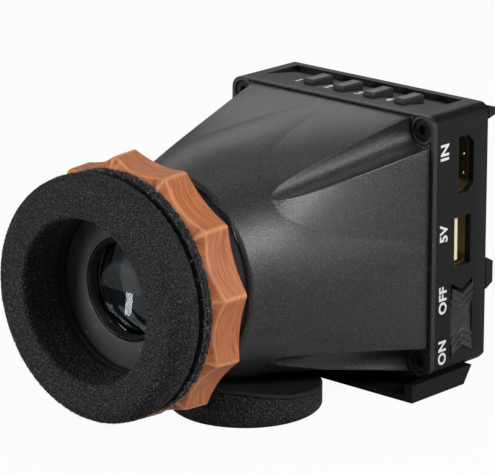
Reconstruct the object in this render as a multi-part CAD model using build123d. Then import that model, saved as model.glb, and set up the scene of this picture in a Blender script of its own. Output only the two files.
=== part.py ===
from build123d import *
import os
from math import cos, radians, sin, sqrt, tan

os.makedirs("parts", exist_ok=True)

# Electronic viewfinder, mm. The optical axis runs along Y: the eye looks in from -Y, the screen housing
# is at the +Y end. The origin is the mouth of the tripod thread, in the underside of the base plate.

# Housing and the frame plate on its front
housing_width = 69.4
housing_height = 69.8
housing_length = 22.4
corner_radius = 3.2
frame_thickness = 1.7
front_wall = 1.8
side_wall = 3.0
cap_wall = 3.4
column_radius = 4.2
back_round = 0.4
foot_round = 3.0
thread_setback = 7.0

# Rear cover and its rails
cover_thickness = 2.4
cover_side_rim = 1.45
cover_end_rim = 2.3
cover_radius = 1.9
lower_rail_drop = 11.2
lower_rail_root = 8.8
lower_rail_face = 5.8
lower_rail_depth = 2.9
upper_rail_inset = 2.7
upper_rail_root = 3.4
upper_rail_face = 1.2
upper_rail_depth = 4.0
rail_length = 66.0
rail_screw_x = 24.0
rail_screw_radius = 1.5
upper_rail_screw_radius = 0.9
upper_rail_screw_drop = 0.7

# Base plate
base_height = 4.7
base_front = 7.3
base_back = 13.9
base_chamfer = 3.2
base_lip = 1.6
pocket_inner = 10.0
pocket_end_wall = 2.5
pocket_back = 1.0
thread_radius = 2.6
insert_radius = 4.5
insert_length = 7.0
insert_depth = 6.2
base_screw_x = 22.0
base_screw_front = 4.6
base_screw_spacing = 6.0
base_screw_radius = 1.25
base_screw_head = 2.35
base_screw_length = 7.2

# Corner screws, M3 socket heads
corner_screw_inset_x = 3.9
corner_screw_inset_z = 3.9
m3_radius = 1.45
m3_head_radius = 2.7
m3_head_height = 3.0
m3_key = 1.25
counterbore_radius = 2.9
head_recess = 0.4
ear_radius = 3.75
screw_clearance = 0.15

# Hood
hood_length = 60.2
rim_radius = 26.6
rim_chamfer = 0.8
hood_step_x = 1.2
hood_step_z = 0.7
hood_side_run = 48.0
hood_side_radius = 29.45
flare_seat = 0.1
flare_waist = 24.0
flare_waist_radius = 32.44
flare_shoulder = 40.0
flare_shoulder_radius = 31.04
flare_neck_radius = 29.6
hood_recess = 0.8
seam_gap = 0.25
scallop_radius = 5.0
scallop_start = 31.5
scallop_end = 24.6
scallop_run = 47.7
cavity_front_radius = 23.2
cavity_back_radius = 29.5
spigot_length = 8.0
hood_screw_x = 24.6
hood_screw_z = 25.6
hood_screw_radius = 1.2
hood_screw_depth = 6.0

# Neck sleeve and focus ring
spigot_radius = 24.0
collar_radius = 25.4
collar_length = 8.1
ring_gap = 0.4
ring_length = 9.9
sleeve_radius = 23.9
sleeve_wall = 2.34
sleeve_nose = 8.4
running_gap = 0.06
ring_tip_radius = 34.1
ring_valley_radius = 31.7
ring_lobes = 12
ring_phase = 6.4
ring_face_radius = 30.8
ring_face_slope = 2.4
insert_ring_radius = 26.6
flange_radius = 29.5
flange_bore = 20.3
flange_thickness = 1.4

# Eyecup
hook_thickness = 1.5
hook_radius = 30.8
loop_thickness = 1.0
foam_gap = 0.1
foam_radius = 30.4
foam_bulge = 0.7
foam_depth = 10.6
foam_bore = 20.0
foam_round = 3.2
foam_lip_round = 1.6

# Lens cell
cell_radius = 21.5
cell_wall = 2.5
cell_length = 21.2
plate_thickness = 1.6
plate_tail = 4.6
plate_bore = 13.4
plate_shoulder = 1.2
plate_set_back = 0.4
bezel_radius = 11.9
bezel_length = 2.8
eye_lens_edge = 2.4
eye_lens_front_sag = 1.8
eye_lens_back_sag = 2.6
lens_land = 1.1
spacer_length = 7.6
spacer_wall = 1.4
field_lens_edge = 2.5
field_lens_front_sag = 3.2
field_lens_back_sag = 3.4
field_ring_length = 2.4
fit = 0.05
key_radius = 1.0
key_reach = 1.4
key_station = 10.8
keyway_gap = 0.35
key_count = 3
focus_travel = 5.0

# Screen
window_side = 6.7
window_end = 13.5
screen_margin_x = 3.0
screen_margin_z = 2.0
mask_thickness = 0.5
glass_thickness = 1.1
module_thickness = 3.3
clamp_thickness = 0.9
clamp_width = 5.4
clamp_height = 27.0
clamp_screw_z = 9.5
clamp_post_radius = 1.7
clamp_screw_radius = 0.8
clamp_screw_length = 2.5
flex_width = 16.0
flex_thickness = 0.3
flex_drop = 16.0
flex_tail = 6.0

# Main board
board_front = 16.6
board_thickness = 1.6
board_end_gap = 0.7
board_low_gap = 4.9
post_radius = 2.1
post_x = 16.0
post_inset = 3.6
board_screw_radius = 1.1
board_screw_head = 2.1
board_screw_head_height = 1.0
board_screw_length = 4.0
post_hole_depth = 5.0
chip_height = 1.5
chip_rows = ((-9.0, 5.0, 15.0), (9.0, 7.0, 9.0), (-20.0, -12.0, 8.0), (22.0, -14.0, 5.0), (-22.0, 12.0, 6.0))
socket_foot = 5.0
small_head_radius = 1.5
small_head_height = 0.7

# Sockets in the side wall, which is thinned behind them
thin_wall = 1.45
video_y = 13.6
video_drop = 14.5
video_tongue_margin = 1.4
socket_foot_inset = 3.0
video_mouth_width = 4.6
video_mouth_height = 14.0
video_depth = 7.8
video_recess_front = 10.4
video_recess_back = 16.4
video_recess_height = 15.0
power_y = 12.75
power_z = 0.0
power_mouth_width = 5.1
power_mouth_height = 12.5
power_depth = 13.0
power_recess_front = 9.0
power_recess_back = 15.6
power_recess_height = 13.2
socket_wall = 0.4
socket_set_back = 1.6
tongue_set_back = 3.3
tongue_thickness = 1.4
power_tongue_thickness = 1.9
power_tongue_set_back = 0.5
recess_corner = 2.0

# Power slide switch
slot_front = 8.0
slot_back = 16.7
slot_rise = 4.2
slot_height = 19.9
slot_notch = 2.3
slider_gap = 0.15
switch_travel = 1.2
slider_proud = 0.4
slider_dish = 0.7
slider_clearance = 0.1
flange_reach = 1.0
flange_top_inset = 2.6
flange_low_inset = 2.7
switch_flange = 0.7
lever_width = 1.2
switch_width = 5.4
switch_height = 10.0
switch_depth = 5.3
rib_count = 3
rib_start = 2.2
rib_pitch = 1.9
rib_width = 0.8
rib_height = 0.35

# Top buttons
button_count = 4
button_pitch = 10.4
button_first_x = -13.2
button_y = 10.2
button_width = 3.5
button_length = 8.0
button_proud = 1.6
button_gap = 0.15
button_travel = 0.6
button_flange = 0.7
button_flange_height = 0.8
button_flange_gap = 0.3
button_stem_radius = 1.2
button_stem_length = 1.0
button_round = 0.5
well_left = 29.0
well_right = 28.0
well_front = 6.5
well_back = 19.7
well_depth = 1.5
tact_size = 4.5
tact_height = 1.6
tact_nub = 0.5
tact_nub_radius = 1.0
tact_gap = 0.65
button_board_thickness = 1.2
button_board_left = 22.0
button_board_right = 25.2
button_board_front = 5.0
button_board_back = 15.5
button_boss_radius = 1.8
button_boss_inset = 2.2
button_screw_length = 4.0

# Foam rest pad under the hood
pad_x = 3.5
pad_distance = 37.0
pad_radius = 20.0
pad_height = 10.8
pad_loop = 1.2
pad_round = 2.4
pad_gap = 0.45

# Places that follow from the sizes above
axis_z = base_height + housing_height / 2
front_y = -thread_setback
rear_y = front_y + housing_length
cover_y = rear_y - cover_thickness
frame_back_y = front_y + frame_thickness
half_width = housing_width / 2
half_height = housing_height / 2
inner_x = half_width - side_wall
inner_z = half_height - cap_wall
hood_half_width = half_width - hood_step_x
hood_half_height = half_height - hood_step_z
upper_rail_rise = half_height - upper_rail_inset
video_z = half_height - video_drop
slot_bottom = slot_rise - half_height
slot_top = slot_bottom + slot_height
flange_high = slot_top - flange_top_inset
flange_low = slot_bottom + flange_low_inset
window_width = 2 * (inner_x - window_side)
window_height = 2 * (inner_z - window_end)
corner_screw_x = half_width - corner_screw_inset_x
corner_screw_z = half_height - corner_screw_inset_z
screen_width = window_width + 2 * screen_margin_x
screen_height = window_height + 2 * screen_margin_z
board_width = 2 * (inner_x - board_end_gap)
board_height = 2 * (inner_z - board_low_gap)
post_z = board_height / 2 - post_inset
wall_y = frame_back_y + front_wall
rim_y = front_y - hood_length
collar_y = rim_y - collar_length
ring_back_y = collar_y - ring_gap
ring_front_y = ring_back_y - ring_length
flange_back_y = ring_front_y + flange_thickness
sleeve_front_y = flange_back_y + ring_gap
hook_front_y = ring_front_y - hook_thickness
loop_back_y = hook_front_y - foam_gap
foam_back_y = loop_back_y - loop_thickness
cell_front_y = flange_back_y + plate_set_back
tube_front_y = cell_front_y + plate_thickness
tail_end_y = tube_front_y + plate_tail
cell_bore = cell_radius - cell_wall
tail_radius = cell_bore - fit
lens_seat_y = tail_end_y - plate_shoulder
spacer_end_y = tail_end_y + spacer_length
field_end_y = spacer_end_y + field_lens_edge
thin_x = half_width - thin_wall
board_y = front_y + board_front
mask_y = wall_y + mask_thickness
glass_y = mask_y + glass_thickness
module_y = glass_y + module_thickness
optical_axis = Axis((0, 0, axis_z), (0, 1, 0))
corners = [(sx, sz) for sx in (-1, 1) for sz in (-1, 1)]


# Shape helpers
def block(x0, x1, y0, y1, z0, z1):
    return Pos((x0 + x1) / 2, (y0 + y1) / 2, (z0 + z1) / 2) * Box(x1 - x0, y1 - y0, z1 - z0)


def turned(*profile):
    outline = Polyline(*[(r, y, axis_z) for r, y in profile], close=True)
    return revolve(make_face(outline), optical_axis)


def tube(outer, inner, y0, y1):
    return turned((inner, y0), (outer, y0), (outer, y1), (inner, y1))


def rod_x(radius, y, z, x0, x1):
    return Pos((x0 + x1) / 2, y, z) * Rot(0, 90, 0) * Cylinder(radius, x1 - x0)


def rod_y(radius, x, z, y0, y1):
    return Pos(x, (y0 + y1) / 2, z) * Rot(90, 0, 0) * Cylinder(radius, y1 - y0)


def rod_z(radius, x, y, z0, z1):
    return Pos(x, y, (z0 + z1) / 2) * Cylinder(radius, z1 - z0)


def across(y):
    return Plane((0, y, axis_z), x_dir=(1, 0, 0), z_dir=(0, -1, 0))


def slab(width, height, radius, y0, y1):
    return extrude(across(y0) * RectangleRounded(width, height, radius), y1 - y0, dir=(0, 1, 0))


def side_prism(points, x0, x1):
    outline = Polyline(*[(x0, y, z) for y, z in points], close=True)
    return extrude(make_face(outline), x1 - x0, dir=(1, 0, 0))


def rounded(start, end, centre):
    middle = Vector(*centre)
    spoke = Vector(*start) - middle
    halfway = (spoke + Vector(*end) - middle).normalized() * spoke.length
    return ThreePointArc(start, middle + halfway, end)


def corner_screw_places():
    return [(sx * corner_screw_x, axis_z + sz * corner_screw_z) for sx, sz in corners]


def save(shape, name):
    export_step(shape, f"parts/{name}.step")


# Hood: a flare round the axis joined to four sides that run from a rectangle into a circle,
# with a groove for each corner screw
def flare_section(distance, radius):
    share = max(1 - distance / hood_side_run, 0)
    width = radius - (hood_half_height - hood_half_width) * share
    return across(front_y - distance) * Ellipse(width, radius)


def hood_flare():
    neck = across(rim_y) * Circle(rim_radius)
    sections = [
        flare_section(0, hood_half_height - flare_seat),
        flare_section(flare_waist, flare_waist_radius),
        flare_section(flare_shoulder, flare_shoulder_radius),
        flare_section(hood_side_run, flare_neck_radius),
        neck,
    ]
    return loft(sections)


def hood_sides():
    def corner(n, width, height, y):
        sx, sz = ((1, -1), (1, 1), (-1, 1), (-1, -1))[n % 4]
        return (sx * width, y, axis_z + sz * height)

    reach = hood_side_radius * sqrt(0.5)
    front = front_y - hood_side_run
    middles = ((1, 0), (0, 1), (-1, 0), (0, -1))
    arcs = []
    lines = []
    for n, (mx, mz) in enumerate(middles):
        middle = (mx * hood_side_radius, front, axis_z + mz * hood_side_radius)
        arcs.append(ThreePointArc(corner(n, reach, reach, front), middle, corner(n + 1, reach, reach, front)))
        lines.append(Line(corner(n, hood_half_width, hood_half_height, front_y),
                          corner(n + 1, hood_half_width, hood_half_height, front_y)))
    sides = loft([make_face(Wire(arcs)), make_face(Wire(lines))], ruled=True)
    seat = block(-hood_half_width, hood_half_width, front_y, front_y + hood_recess,
                 axis_z - hood_half_height, axis_z + hood_half_height)
    return sides + seat


# Round end of a corner screw's seat, open to the corner
def screw_ear(sx, sz, radius, y0, y1):
    x = sx * corner_screw_x
    z = axis_z + sz * corner_screw_z
    far_x = sx * housing_width
    far_z = axis_z + sz * housing_height
    open_corner = block(min(x, far_x), max(x, far_x), y0, y1, min(z, far_z), max(z, far_z))
    return rod_y(radius, x, z, y0, y1) + open_corner


def scallop(sx, sz):
    lean = Vector(sx * (scallop_end - scallop_start), -scallop_run, sz * (scallop_end - scallop_start))
    open_side = scallop_start + scallop_radius
    outline = Pos(sx * scallop_start, sz * scallop_start) * Circle(scallop_radius)
    outline += Pos(sx * open_side, sz * open_side) * Rectangle(2 * scallop_radius, 2 * scallop_radius)
    groove = extrude(across(front_y) * outline, 1.3 * lean.length, dir=lean.normalized())
    return groove + screw_ear(sx, sz, ear_radius + seam_gap, front_y, front_y + hood_recess + 1)


def hood_cavity():
    back = front_y + hood_recess
    shoulder = rim_y + spigot_length
    bore = tube(spigot_radius, 0, rim_y - 1, shoulder)
    cone = turned((0, shoulder), (cavity_front_radius, shoulder), (cavity_back_radius, back + 0.01),
                  (0, back + 0.01))
    return bore + cone


def make_hood():
    body = hood_flare() + hood_sides()
    for sx, sz in corners:
        body -= scallop(sx, sz)
        body -= rod_y(hood_screw_radius, sx * hood_screw_x, axis_z + sz * hood_screw_z,
                      front_y + hood_recess - hood_screw_depth, front_y + hood_recess + 1)
    body -= hood_cavity()
    trim = turned((rim_radius - rim_chamfer, rim_y - 1), (rim_radius + 1, rim_y - 1),
                  (rim_radius + 1, rim_y + rim_chamfer),
                  (rim_radius, rim_y + rim_chamfer), (rim_radius - rim_chamfer, rim_y))
    return body - trim


def make_hood_screws():
    screws = []
    for sx, sz in corners:
        x = sx * hood_screw_x
        z = axis_z + sz * hood_screw_z
        shank = rod_y(hood_screw_radius - fit, x, z, front_y + hood_recess - hood_screw_depth + 0.5, wall_y)
        head = rod_y(2 * hood_screw_radius - 0.2, x, z, wall_y, wall_y + 1.4)
        screws.append(shank + head)
    return Compound(screws)


# Neck sleeve with its collar and the keyways that keep the lens cell from turning
def make_neck_sleeve():
    inner = sleeve_radius - sleeve_wall
    back = rim_y + spigot_length - 0.2
    body = turned((inner, sleeve_front_y), (sleeve_radius, sleeve_front_y), (sleeve_radius, collar_y),
                  (collar_radius, collar_y),
                  (collar_radius, rim_y), (spigot_radius - 0.03, rim_y), (spigot_radius - 0.03, back), (inner,
                                                                                                        back))
    way = key_radius + keyway_gap
    depth = cell_radius + key_reach + keyway_gap
    for n in range(key_count):
        cut = block(0, depth, cell_front_y + key_station - way, back + 1, -way, way)
        body -= Pos(0, 0, axis_z) * Rot(0, 90 + 360 / key_count * n, 0) * cut
    return body


# Focus ring: a lobed wooden grip pressed over a metal ring that turns on the sleeve
def lobe_point(radius, angle, y):
    return (radius * cos(radians(angle)), y, axis_z + radius * sin(radians(angle)))


def make_focus_ring():
    step = 360 / ring_lobes
    flutes = []
    for n in range(ring_lobes):
        angle = ring_phase + n * step
        flutes.append(ThreePointArc(lobe_point(ring_tip_radius, angle, ring_back_y),
                                    lobe_point(ring_valley_radius, angle + step / 2, ring_back_y),
                                    lobe_point(ring_tip_radius, angle + step, ring_back_y)))
    body = extrude(make_face(Wire(flutes)), ring_length, dir=(0, -1, 0))
    slope_start = ring_front_y + ring_face_slope * 1.15
    over = ring_tip_radius + (ring_tip_radius - ring_face_radius) * 0.15
    turned_form = turned((0, ring_front_y), (ring_face_radius, ring_front_y), (over, slope_start),
                         (over, ring_back_y + 0.01), (0, ring_back_y + 0.01))
    body = body & turned_form
    body -= tube(insert_ring_radius, 0, ring_front_y - 1, ring_back_y + 1)
    return body - tube(flange_radius + fit, 0, ring_front_y - 1, flange_back_y)


def make_ring_insert():
    bore = sleeve_radius + running_gap
    outer = insert_ring_radius - fit
    return turned((flange_bore, ring_front_y), (flange_radius, ring_front_y), (flange_radius, flange_back_y),
                  (outer, flange_back_y), (outer, ring_back_y), (bore, ring_back_y), (bore, flange_back_y),
                  (flange_bore, flange_back_y))


def make_hook_ring():
    return tube(hook_radius, flange_bore + 0.1, hook_front_y, ring_front_y)


def make_loop_ring():
    return tube(foam_radius, foam_bore + 0.2, foam_back_y, loop_back_y)


# Foam eyecup: a fat ring with a rounded front
def make_foam_eyecup():
    front = foam_back_y - foam_depth
    bend = 1 - sqrt(0.5)
    swell = foam_radius + foam_bulge
    shoulder_y = front + foam_round
    middle_y = (foam_back_y + shoulder_y) / 2

    def at(r, y):
        return (r, y, axis_z)

    edges = [
        Line(at(foam_bore, foam_back_y), at(foam_radius, foam_back_y)),
        ThreePointArc(at(foam_radius, foam_back_y), at(swell, middle_y), at(foam_radius, shoulder_y)),
        ThreePointArc(at(foam_radius, shoulder_y),
                      at(foam_radius - bend * foam_round, front + bend * foam_round),
                      at(foam_radius - foam_round, front)),
        Line(at(foam_radius - foam_round, front), at(foam_bore + foam_lip_round, front)),
        ThreePointArc(at(foam_bore + foam_lip_round, front),
                      at(foam_bore + bend * foam_lip_round, front + bend * foam_lip_round),
                      at(foam_bore, front + foam_lip_round)),
        Line(at(foam_bore, front + foam_lip_round), at(foam_bore, foam_back_y)),
    ]
    return revolve(make_face(Wire(edges)), optical_axis)


# Lens cell and its optics
def make_lens_cell():
    body = tube(cell_radius, cell_bore, tube_front_y, tube_front_y + cell_length)
    for n in range(key_count):
        hole = Rot(0, 90, 0) * Cylinder(key_radius, 4)
        hole = Pos(cell_radius + 1, cell_front_y + key_station, 0) * hole
        body -= Pos(0, 0, axis_z) * Rot(0, 90 + 360 / key_count * n, 0) * hole
    return body


def make_guide_keys():
    keys = []
    for n in range(key_count):
        pin = rod_x(key_radius - 0.02, cell_front_y + key_station, 0, cell_radius - 0.9,
                    cell_radius + key_reach)
        keys.append(Pos(0, 0, axis_z) * Rot(0, 90 + 360 / key_count * n, 0) * pin)
    return Compound(keys)


def make_eye_plate():
    return turned((plate_bore, cell_front_y), (cell_radius, cell_front_y), (cell_radius, tube_front_y),
                  (tail_radius, tube_front_y), (tail_radius, tail_end_y), (plate_bore - lens_land,
                                                                           tail_end_y),
                  (plate_bore - lens_land, lens_seat_y), (plate_bore, lens_seat_y))


def make_eye_bezel():
    back = lens_seat_y - eye_lens_edge
    outer = plate_bore - fit
    lip = outer - bezel_radius
    return turned((bezel_radius + lip / 2, back - bezel_length), (outer, back - bezel_length + lip / 2),
                  (outer, back),
                  (bezel_radius + 0.3, back), (bezel_radius, back - bezel_length + lip))


def lens(radius, edge_front, edge_back, land, front_sag, back_sag):
    clear = radius - land

    def at(r, y):
        return (r, y, axis_z)

    def bow(rim_y, sag):
        ball = (clear * clear + sag * sag) / (2 * abs(sag))
        drop = ball - sqrt(ball * ball - clear * clear / 4)
        peak = rim_y + sag
        return at(clear / 2, peak - drop if sag > 0 else peak + drop)

    edges = [
        Line(at(0, edge_front - front_sag), at(0, edge_back + back_sag)),
        ThreePointArc(at(0, edge_back + back_sag), bow(edge_back, back_sag), at(clear, edge_back)),
        Line(at(clear, edge_back), at(radius, edge_back)),
        Line(at(radius, edge_back), at(radius, edge_front)),
        Line(at(radius, edge_front), at(clear, edge_front)),
        ThreePointArc(at(clear, edge_front), bow(edge_front, -front_sag), at(0, edge_front - front_sag)),
    ]
    return revolve(make_face(Wire(edges)), optical_axis)


def make_eye_lens():
    return lens(plate_bore - fit, lens_seat_y - eye_lens_edge, lens_seat_y, lens_land + 0.1,
                eye_lens_front_sag, eye_lens_back_sag)


def make_spacer_tube():
    return tube(tail_radius, tail_radius - spacer_wall, tail_end_y, spacer_end_y)


def make_field_lens():
    return lens(tail_radius, spacer_end_y, field_end_y, spacer_wall + 0.1, field_lens_front_sag,
                field_lens_back_sag)


def make_field_ring():
    return tube(tail_radius, tail_radius - spacer_wall, field_end_y, field_end_y + field_ring_length)


# Frame plate, which the hood seats in, and the housing behind it: a box open at the back
def window_cut(y0, y1):
    return block(-window_width / 2, window_width / 2, y0, y1, axis_z - window_height / 2,
                 axis_z + window_height / 2)


def hood_screw_cuts(y0, y1):
    cuts = []
    for sx, sz in corners:
        cuts.append(rod_y(hood_screw_radius + screw_clearance, sx * hood_screw_x, axis_z + sz * hood_screw_z,
                          y0, y1))
    return cuts


def make_front_frame():
    body = slab(housing_width, housing_height, corner_radius, front_y, frame_back_y)
    seat_x = hood_half_width + seam_gap
    seat_z = hood_half_height + seam_gap
    seat = block(-seat_x, seat_x, front_y - 1, front_y + hood_recess, axis_z - seat_z, axis_z + seat_z)
    for sx, sz in corners:
        seat -= screw_ear(sx, sz, ear_radius, front_y - 2, rear_y)
    body -= seat
    for x, z in corner_screw_places():
        body -= rod_y(counterbore_radius, x, z, front_y - 1, frame_back_y + 1)
    for hole in hood_screw_cuts(front_y - 1, frame_back_y + 1):
        body -= hole
    return body - window_cut(front_y - 1, frame_back_y + 1)


def housing_outline():
    top = axis_z + half_height
    low = axis_z - half_height
    side = [
        Line((0, frame_back_y, low), (0, rear_y - foot_round, low)),
        rounded((0, rear_y - foot_round, low), (0, rear_y, low + foot_round),
                (0, rear_y - foot_round, low + foot_round)),
        Line((0, rear_y, low + foot_round), (0, rear_y, top - back_round)),
        rounded((0, rear_y, top - back_round), (0, rear_y - back_round, top),
                (0, rear_y - back_round, top - back_round)),
        Line((0, rear_y - back_round, top), (0, frame_back_y, top)),
        Line((0, frame_back_y, top), (0, frame_back_y, low)),
    ]
    plan = Polyline((-half_width, frame_back_y, axis_z), (half_width, frame_back_y, axis_z),
                    (half_width, rear_y - back_round, axis_z), (half_width - back_round * 0.4,
                                                                rear_y - back_round * 0.4, axis_z),
                    (half_width - back_round, rear_y, axis_z), (-half_width + back_round, rear_y, axis_z),
                    (-half_width + back_round * 0.4, rear_y - back_round * 0.4, axis_z),
                    (-half_width, rear_y - back_round, axis_z), close=True)
    body = slab(housing_width, housing_height, corner_radius, frame_back_y, rear_y)
    body = body & extrude(make_face(Wire(side)), half_width + 1, dir=(1, 0, 0), both=True)
    return body & extrude(make_face(plan), half_height + 1, dir=(0, 0, 1), both=True)


def cover_outline(gap, y0, y1):
    width = housing_width - 2 * (cover_side_rim + gap)
    height = housing_height - 2 * (cover_end_rim + gap)
    return slab(width, height, cover_radius, y0, y1)


def housing_shell():
    body = housing_outline()
    room = block(-inner_x, inner_x, wall_y, cover_y + 1, axis_z - inner_z, axis_z + inner_z)
    for x, z in corner_screw_places():
        room -= rod_y(column_radius, x, z, wall_y - 1, cover_y + 2)
    body -= room
    body -= cover_outline(0, cover_y, rear_y + 1)
    return body - window_cut(frame_back_y - 1, wall_y + 1)


def housing_front_holes():
    cuts = hood_screw_cuts(frame_back_y - 1, wall_y + 1)
    for x, z in corner_screw_places():
        cuts.append(rod_y(counterbore_radius, x, z, front_y - 1, front_y + head_recess + m3_head_height))
        cuts.append(rod_y(m3_radius + screw_clearance, x, z, front_y, rear_y + 1))
    return cuts


# Outlines of the cut-outs in the side wall
def video_outline(front, back, height, corner):
    low = axis_z + video_z - height / 2
    high = axis_z + video_z + height / 2
    bevel = corner * 1.2
    return [(front, low), (back - bevel, low), (back, low + corner), (back, high - corner),
            (back - bevel, high), (front, high)]


def power_outline(front, back, height):
    middle = axis_z + power_z
    return [(front, middle - height / 2), (back, middle - height / 2), (back, middle + height / 2),
            (front, middle + height / 2)]


def slot_outline(shrink, top_gap=0.0, foot_gap=0.0):
    y0 = front_y + slot_front + shrink
    y1 = front_y + slot_back - shrink
    top = axis_z + slot_top - top_gap
    low = axis_z + slot_bottom + foot_gap
    middle = (y0 + y1) / 2
    return [(y0, low), (middle, low + slot_notch), (y1, low), (y1, top), (middle, top - slot_notch),
            (y0, top)]


def socket_room(middle, width, height, place_z):
    half = width / 2 + socket_wall + 0.2
    reach = height / 2 + socket_wall + 0.2
    return block(socket_front() - power_depth, thin_x, middle - half, cover_y + 0.1,
                 axis_z + place_z - reach, axis_z + place_z + reach)


def housing_side_cuts():
    reach = (thin_x - 1, half_width + 1)
    slide_y = front_y + (slot_front + slot_back) / 2
    flange_half = (slot_back - slot_front) / 2 + flange_reach + 0.3
    return [
        side_prism(video_outline(front_y + video_recess_front, front_y + video_recess_back,
                                 video_recess_height, recess_corner), *reach),
        side_prism(power_outline(front_y + power_recess_front, front_y + power_recess_back,
                                 power_recess_height), *reach),
        side_prism(slot_outline(0), thin_x, half_width + 1),
        socket_room(front_y + video_y, video_mouth_width, video_mouth_height, video_z),
        socket_room(front_y + power_y, power_mouth_width, power_mouth_height, power_z),
        block(inner_x - 1, thin_x, slide_y - flange_half, cover_y + 0.1,
              axis_z + flange_low - 0.3, axis_z + flange_high + switch_travel + 0.3),
    ]


def well_floor(y):
    run = well_back - well_front
    return axis_z + half_height - well_depth * (y - front_y - well_front) / run


def button_places():
    return [button_first_x + n * button_pitch for n in range(button_count)]


def housing_top_cuts():
    top = axis_z + half_height
    start = front_y + well_front
    end = front_y + well_back
    wedge = side_prism([(start, top), (start, top + 1), (end, top + 1), (end, well_floor(end))], -well_left,
                       well_right)
    cuts = [wedge]
    for x in button_places():
        hole = block(x - button_width / 2 - button_gap, x + button_width / 2 + button_gap,
                     front_y + button_y - button_length / 2 - button_gap,
                     front_y + button_y + button_length / 2 + button_gap, axis_z + inner_z - 1, top + 1)
        cuts.append(hole)
    return cuts


def housing_inner_posts():
    posts = []
    post_x_place = inner_x - clamp_post_radius
    for sx, sz in corners:
        posts.append(rod_y(clamp_post_radius, sx * post_x_place, axis_z + sz * clamp_screw_z, wall_y - 0.5,
                           module_y))
    top = axis_z + inner_z
    for x in (-button_board_left + button_boss_inset, button_board_right - button_boss_inset):
        posts.append(rod_z(button_boss_radius, x, front_y + button_y, button_board_top(), top + 0.5))
    return posts


def button_board_top():
    flange_low = axis_z + inner_z - button_flange_gap - button_flange_height
    return flange_low - button_stem_length - tact_gap - tact_nub - tact_height


def housing_inner_holes():
    holes = []
    post_x_place = inner_x - clamp_post_radius
    for sx, sz in corners:
        holes.append(rod_y(clamp_screw_radius, sx * post_x_place, axis_z + sz * clamp_screw_z, module_y - 3,
                           module_y + 1))
        holes.append(rod_y(board_screw_radius, sx * post_x, axis_z + sz * post_z, wall_y - 1.2, wall_y + 1))
    for x in (-button_board_left + button_boss_inset, button_board_right - button_boss_inset):
        holes.append(rod_z(clamp_screw_radius, x, front_y + button_y, button_board_top() - 1,
                           button_board_top() + 3.5))
    for x, y in base_screw_places():
        holes.append(rod_z(base_screw_radius, x, y, base_height - 1, base_height + cap_wall - 0.4))
    holes.append(rod_z(insert_radius + fit, 0, 0, base_height - 1, insert_length + 0.1))
    return holes


def make_housing():
    body = housing_shell()
    for post in housing_inner_posts():
        body += post
    for cut in housing_front_holes() + housing_side_cuts() + housing_top_cuts() + housing_inner_holes():
        body -= cut
    return body


# Rear cover, held by the corner screws, and the two rails across it
def make_rear_cover():
    body = cover_outline(0.1, cover_y, rear_y)
    for x, z in corner_screw_places():
        body -= rod_y(m3_radius + fit, x, z, cover_y - 1, rear_y - 0.5)
    for x, z in lower_rail_screws():
        body -= rod_y(rail_screw_radius - 0.4, x, z, cover_y + 0.6, rear_y + 1)
    for x, z in upper_rail_screws():
        body -= rod_y(upper_rail_screw_radius, x, z, cover_y + 0.6, rear_y + 1)
    return body


def lower_rail_screws():
    return [(sx * rail_screw_x, axis_z - lower_rail_drop) for sx in (-1, 1)]


def upper_rail_screws():
    return [(sx * rail_screw_x, axis_z + upper_rail_rise - upper_rail_screw_drop) for sx in (-1, 1)]


def rail(level, root, face, depth):
    return side_prism([(rear_y, level - root / 2), (rear_y + depth, level - face / 2),
                       (rear_y + depth, level + face / 2),
                       (rear_y, level + root / 2)], half_width - rail_length, half_width)


def make_lower_rail():
    body = rail(axis_z - lower_rail_drop, lower_rail_root, lower_rail_face, lower_rail_depth)
    for x, z in lower_rail_screws():
        body -= rod_y(rail_screw_radius, x, z, rear_y - 1, rear_y + lower_rail_depth + 1)
        body -= rod_y(2.6, x, z, rear_y + 1.2, rear_y + lower_rail_depth + 1)
    return body


def make_upper_rail():
    body = rail(axis_z + upper_rail_rise, upper_rail_root, upper_rail_face, upper_rail_depth)
    for x, z in upper_rail_screws():
        body -= rod_y(upper_rail_screw_radius, x, z, rear_y - 1, rear_y + upper_rail_depth + 1)
    return body


def make_rail_screws():
    screws = []
    for x, z in lower_rail_screws():
        screw = rod_y(rail_screw_radius - 0.45, x, z, cover_y + 0.8, rear_y + 1.2)
        screw += rod_y(2.5, x, z, rear_y + 1.2, rear_y + lower_rail_depth - 0.2)
        screws.append(screw - hex_socket(x, z, rear_y + lower_rail_depth - 1.2, 1.5, 1.0))
    for x, z in upper_rail_screws():
        screws.append(rod_y(upper_rail_screw_radius - fit, x, z, cover_y + 0.8,
                            rear_y + upper_rail_depth - 0.3))
    return Compound(screws)


def hex_socket(x, z, y0, depth, half_flat):
    outline = Plane((x, y0, z), x_dir=(1, 0, 0), z_dir=(0, -1, 0)) * RegularPolygon(half_flat, 6,
                                                                                    major_radius=False)
    return extrude(outline, depth, dir=(0, 1, 0))


def make_corner_screws():
    screws = []
    top = front_y + head_recess
    for x, z in corner_screw_places():
        screw = rod_y(m3_head_radius, x, z, top, top + m3_head_height)
        screw += rod_y(m3_radius - fit, x, z, top + m3_head_height, rear_y - 0.7)
        screws.append(screw - hex_socket(x, z, top - 0.5, 2.0, m3_key))
    return Compound(screws)


# Base plate with two front pockets, its tripod thread and its screws
def base_screw_places():
    first = front_y + base_screw_front
    return [(sx * base_screw_x, y) for sx in (-1, 1) for y in (first, first + base_screw_spacing)]


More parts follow.
